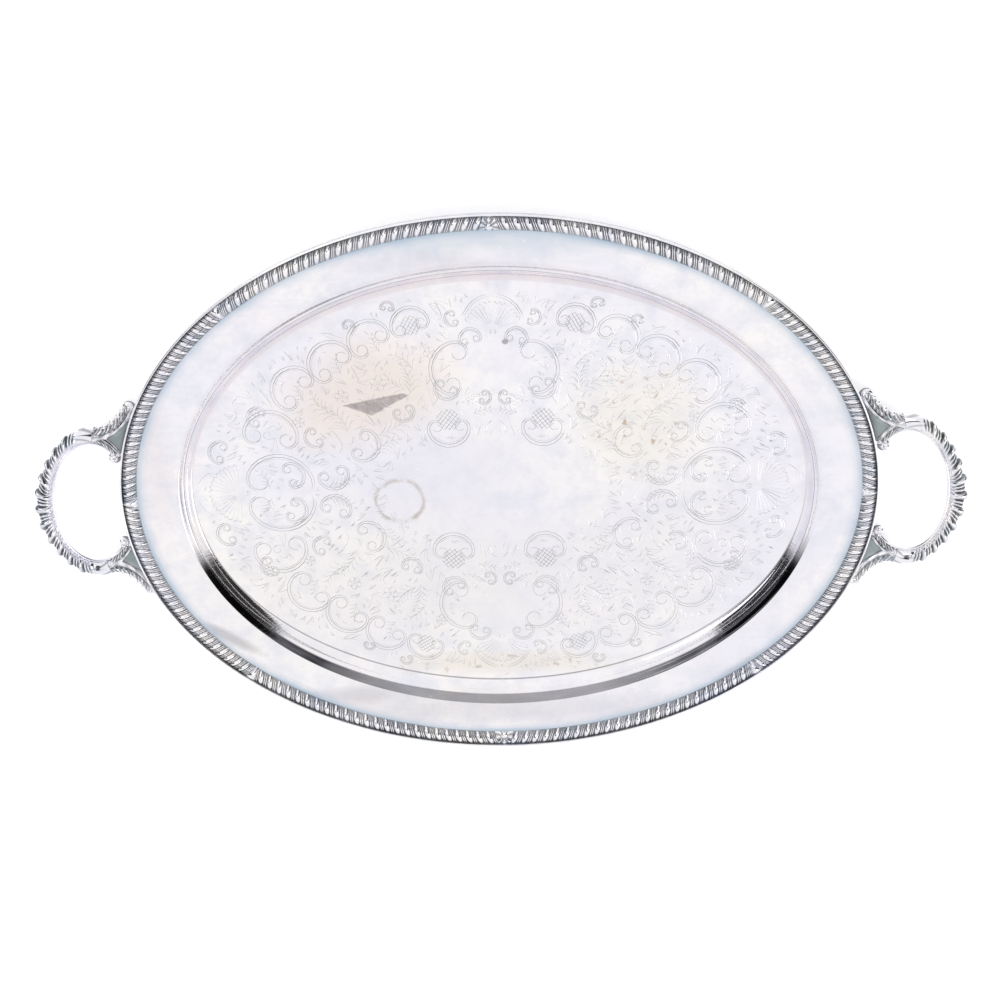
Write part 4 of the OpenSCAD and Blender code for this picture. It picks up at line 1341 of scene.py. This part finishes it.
def build_stage(stage):
    floor = bpy.data.meshes.new("stage_floor")
    reach = 6.0
    floor.from_pydata([(-reach, -reach, 0), (reach, -reach, 0), (reach, reach, 0),
                       (-reach, reach, 0)], [], [(0, 1, 2, 3)])
    f = Finish("pale_floor")
    tone = f.mix(f.ramp(f.noise(3.0, 2.0), 0.3, 0.7), (0.88, 0.88, 0.885), (0.90, 0.90, 0.90))
    floor.materials.append(f.set(Base_Color=tone, Roughness=0.9, Emission_Color=(1.0, 1.0, 1.0),
                                 Emission_Strength=stage.glow))
    piece = bpy.data.objects.new("stage_floor", floor)
    piece.location.z = -0.0002
    bpy.context.scene.collection.objects.link(piece)

    # Soft white surroundings with a few dark shapes for the silver to mirror
    world = bpy.data.worlds.new("soft_studio")
    world.use_nodes = True
    bpy.context.scene.world = world
    w = Nodes(world.node_tree)
    seen = w.add("ShaderNodeTexCoord").outputs["Generated"]
    across, back, up = w.add("ShaderNodeSeparateXYZ", {0: seen}).outputs
    # Directions are taken halfway to a fixed one, so that each is the slope that mirrors it
    back, up = w.math("ADD", back, 0.386), w.math("ADD", up, 0.923)
    square = w.math("MULTIPLY", up, up)
    for axis in (back, across):
        square = w.math("MULTIPLY_ADD", axis, axis, square)
    length = w.math("MAXIMUM", w.math("SQRT", square), 0.001)
    slope = w.math("ARCCOSINE", w.math("DIVIDE", up, length))
    aside = w.math("ABSOLUTE", w.math("ARCTAN2", across, back))

    def rise(value, low, high):
        return w.ramp(value, math.radians(low), math.radians(high), kind="SMOOTHSTEP")

    # Two dark walls before the tray's left and right, and a dark low rim
    walls = w.math("MULTIPLY", w.math("MULTIPLY", rise(aside, 33, 36), rise(aside, 66, 60)),
                   rise(slope, 10, 14))
    dim = w.math("MAXIMUM", walls, w.math("MULTIPLY", rise(slope, 58, 66), 0.9))
    level = w.math("SUBTRACT", 1.0, w.math("MULTIPLY", dim, 0.97))
    tint = w.add("ShaderNodeCombineColor", {0: level, 1: level,
                                            2: w.math("MULTIPLY", level, 1.015)})
    shade = w.add("ShaderNodeBackground", {"Color": tint.outputs[0], "Strength": stage.sky})
    w.add("ShaderNodeOutputWorld", {"Surface": shade.outputs[0]})

    for name, place, size, power in (
            ("key_panel", (-1.6, 1.0, 2.4), 1.6, stage.key),
            ("fill_panel", (1.9, -0.8, 2.2), 1.6, stage.fill)):
        light = bpy.data.lights.new(name, "AREA")
        light.shape, light.size, light.energy = "DISK", size, power
        holder = bpy.data.objects.new(name, light)
        holder.location = place
        holder.rotation_mode = "QUATERNION"
        holder.rotation_quaternion = (-Vector(place)).to_track_quat("-Z", "Y")
        bpy.context.scene.collection.objects.link(holder)

    lens = bpy.data.cameras.new("camera")
    lens.sensor_fit, lens.sensor_width, lens.lens = "HORIZONTAL", 36.0, stage.lens
    lens.clip_start, lens.clip_end = 0.05, 50.0
    camera = bpy.data.objects.new("camera", lens)
    turn = (Matrix.Rotation(stage.tilt, 3, "X") @ Matrix.Rotation(stage.lean, 3, "Y")
            @ Matrix.Rotation(stage.roll, 3, "Z"))
    back_to_tray = turn.transposed()
    spot = back_to_tray @ Vector((-stage.shift_x, -stage.shift_y, stage.distance))
    camera.matrix_world = Matrix.Translation(spot) @ back_to_tray.to_4x4()
    bpy.context.scene.collection.objects.link(camera)
    bpy.context.scene.camera = camera
    bpy.context.scene.view_settings.view_transform = "Standard"
    bpy.context.scene.view_settings.look = "None"


# ---- Add-on ---------------------------------------------------------------------------

def size(label, text, default, low=0.0, high=1000.0):
    return FloatProperty(name=label, description=text, default=default, min=low, max=high)


def aim(label, text, default, **kind):
    return FloatProperty(name=label, description=text, default=default, **kind)


def colour(label, text, default):
    return FloatVectorProperty(name=label, description=text, default=default, subtype="COLOR",
                               min=0, max=1)


class TraySizes(bpy.types.PropertyGroup):
    """Sizes of the tray in millimetres, degrees and counts."""
    sheet: size("Sheet", "Thickness of the sheet", 1.2)
    lip_end: size("Lip at ends", "From the band's outside to the lip at the ends", 43.6)
    lip_side: size("Lip at sides", "From the band's outside to the lip on the sides", 36.6)
    lip_height: size("Lip height", "Height of the lip of the well", 13.8)
    step_end: size("Step at ends", "Width of the upper step at the ends", 3.8)
    step_side: size("Step at sides", "Width of the upper step on the sides", 6.6)
    step_drop: size("Step drop", "Drop of the upper step", 3.5)
    cove_end: size("Cove at ends", "Width of the cove at the ends", 5.4)
    cove_side: size("Cove at sides", "Width of the cove on the sides", 10.4)
    border: size("Border width", "Width of the border with its band", 12.4)
    band_width: size("Band width", "Width of the plain edge band", 1.6)
    rise: size("Border rise", "Height of the border over the rim", 4.2)
    lobes: IntProperty(name="Lobes", description="Lobes between two joins", default=24, min=4)
    lobe_pitch: size("Lobe pitch", "Nominal length of one repeat", 8.1)
    slant: size("Slant", "Slant of the lobes in degrees", 22.0)
    valley: size("Valley", "Height of the ground between lobes, as a share", 0.42)
    shell_length: size("Shell length", "Length of the two shells", 12.0)
    leaf_length: size("Leaf length", "Length of the diagonal leaves", 9.0)
    stop_length: size("Stop length", "Length of the end stops", 7.0)
    bead: size("Bead", "Radius of the bead on each shell", 2.9)
    cut_width: size("Cut width", "Width of a graver's cut", 0.50)
    cut_depth: size("Cut depth", "Depth of a graver's cut", 0.07)
    cut_seed: IntProperty(name="Fill seed", description="Seed of the small ornament", default=7)
    blank_x: size("Plain middle length", "Half the length of the plain middle", 86.0)
    blank_y: size("Plain middle width", "Half the width of the plain middle", 44.0)
    hold_depth: size("Hold depth", "Depth of the hand-hold", 50.8)
    hold_width: size("Hold width", "Width of the hand-hold", 98.0)
    hold_centre: size("Hold centre", "From the band to the widest place of the hold", 22.0)
    bow_middle: size("Bow middle", "Width of the bow at its middle", 11.2)
    bow_waist: size("Bow waist", "Width of the bow half way to its shoulders", 8.0)
    bow_shoulder: size("Bow shoulder", "Width of the bow at its shoulders", 11.5)
    bow_thick: size("Bow thickness", "Thickness of the bow", 9.0)
    knob: size("Knob", "How far the centre knob stands out", 2.4)
    wire: size("Wire", "Diameter of the plain inner wire", 2.6)
    foot_level: size("Foot level", "Height of the feet's middle", 10.0)
    handle_rise: size("Handle rise", "Height of the bow over the feet", 16.0)
    feet_spread: size("Feet spread", "Distance between a handle's outer scrolls", 152.0)
    leaf_width: size("Leaf width", "Width of a foot's leaf at its tip", 10.0)
    volute: size("Volute", "Radius of the ball on a foot's inner branch", 4.2)
    web: size("Web", "Thickness of the ground between the branches", 2.4)


class TrayFinish(bpy.types.PropertyGroup):
    """Colours of the plate and its tarnish."""
    silver_warm: colour("Warm silver", "Where the plate is cream", (0.985, 0.955, 0.935))
    silver_cool: colour("Cool silver", "Where the plate is lilac", (0.885, 0.87, 0.93))
    silver_pink: colour("Pink silver", "Where the plate is rosy", (0.955, 0.895, 0.90))
    silver_blue: colour("Blue silver", "Where a film has smeared", (0.74, 0.765, 0.85))
    rim_blue: colour("Rim film", "Film under the border", (0.42, 0.53, 0.64))
    cove_rose: colour("Cove film", "Film in the cove of the well", (0.68, 0.59, 0.61))
    cut_tone: colour("Cut tone", "Grime in the graver's cuts", (0.27, 0.28, 0.28))
    # Tone of the tarnish and the painted shade laid in the hollows
    hollow_tarnish_and_shade_tone: colour("Hollow tone", "Tarnish in the hollows", (0.05, 0.075, 0.08))
    cut_grime: size("Cut grime", "How dark the cuts are", 0.92, 0, 1)
    # How dark the tarnish and painted shade in the border's and the castings' hollows are
    border_tarnish_and_shade: size("Border grime", "How dark the border's hollows are", 0.84, 0, 1)
    cast_tarnish_and_shade: size("Casting grime", "How dark the castings' hollows are", 0.97, 0, 1)


class TrayStage(bpy.types.PropertyGroup):
    """Camera and light."""
    lens: size("Lens", "Focal length in millimetres", 57.08)
    tilt: aim("Tilt", "Camera tilt", math.radians(22.718), subtype="ANGLE")
    lean: aim("Lean", "Camera lean", math.radians(-1.445), subtype="ANGLE")
    roll: aim("Roll", "Camera roll", math.radians(1.568), subtype="ANGLE")
    distance: aim("Distance", "Camera distance", 1.2265, unit="LENGTH")
    shift_x: aim("Shift X", "Aim across", -0.00141, unit="LENGTH")
    shift_y: aim("Shift Y", "Aim up", 0.00842, unit="LENGTH")
    sky: size("Surroundings", "Strength of the soft surroundings", 1.0)
    glow: size("Floor glow", "Light of the floor itself", 0.40)
    key: size("Key", "Power of the key panel in watts", 9.0)
    fill: size("Fill", "Power of the fill panel in watts", 9.0)


def operator(name, label, text, work, *groups):
    """One building step as an operator; its work takes the named property groups."""
    def execute(self, context):
        work(*(getattr(context.scene, "tray_" + group) for group in groups))
        return {"FINISHED"}

    return type("TRAY_OT_" + name, (bpy.types.Operator,), {
        "__doc__": text, "bl_idname": "tray." + name, "bl_label": label, "execute": execute})


OPERATORS = (
    operator("stage", "Stage", "Lay the floor and set the light and camera", build_stage, "stage"),
    *(operator(name, label, text, work, "sizes", "finish") for name, label, text, work in (
        ("body", "Body", "Build the body and chase its well", build_body),
        ("band", "Edge band", "Build the plain edge band", build_band),
        ("gadroons", "Gadroons", "Build the eight runs of gadroon", build_gadroons),
        ("joins", "Joins", "Build the shells, leaves and stops", build_joins),
        ("bows", "Bows", "Build the two handle bows", build_bows),
        ("wires", "Wires", "Build the handles' inner wires", build_wires),
        ("feet", "Feet", "Build the four leafy feet", build_feet),
        ("webs", "Webs", "Build the sunk grounds of the feet", build_webs))),
)
GROUPS = {"tray_sizes": TraySizes, "tray_finish": TrayFinish, "tray_stage": TrayStage}


class TRAY_PT_panel(bpy.types.Panel):
    """Lists the steps that build the tray"""
    bl_idname = "TRAY_PT_panel"
    bl_label = "Oval Tray"
    bl_space_type = "VIEW_3D"
    bl_region_type = "UI"
    bl_category = "Tray"

    def draw(self, context):
        for step in OPERATORS:
            self.layout.operator(step.bl_idname)
        for name, kind in GROUPS.items():
            box = self.layout.box()
            for key in kind.__annotations__:
                box.prop(getattr(context.scene, name), key)


CLASSES = (*GROUPS.values(), *OPERATORS, TRAY_PT_panel)


def register():
    for item in CLASSES:
        bpy.utils.register_class(item)
    for name, kind in GROUPS.items():
        setattr(bpy.types.Scene, name, PointerProperty(type=kind))


def unregister():
    for name in GROUPS:
        delattr(bpy.types.Scene, name)
    for item in reversed(CLASSES):
        bpy.utils.unregister_class(item)


def main():
    register()
    for step in OPERATORS:
        getattr(bpy.ops.tray, step.bl_idname.removeprefix("tray."))()


if __name__ == "__main__":
    main()
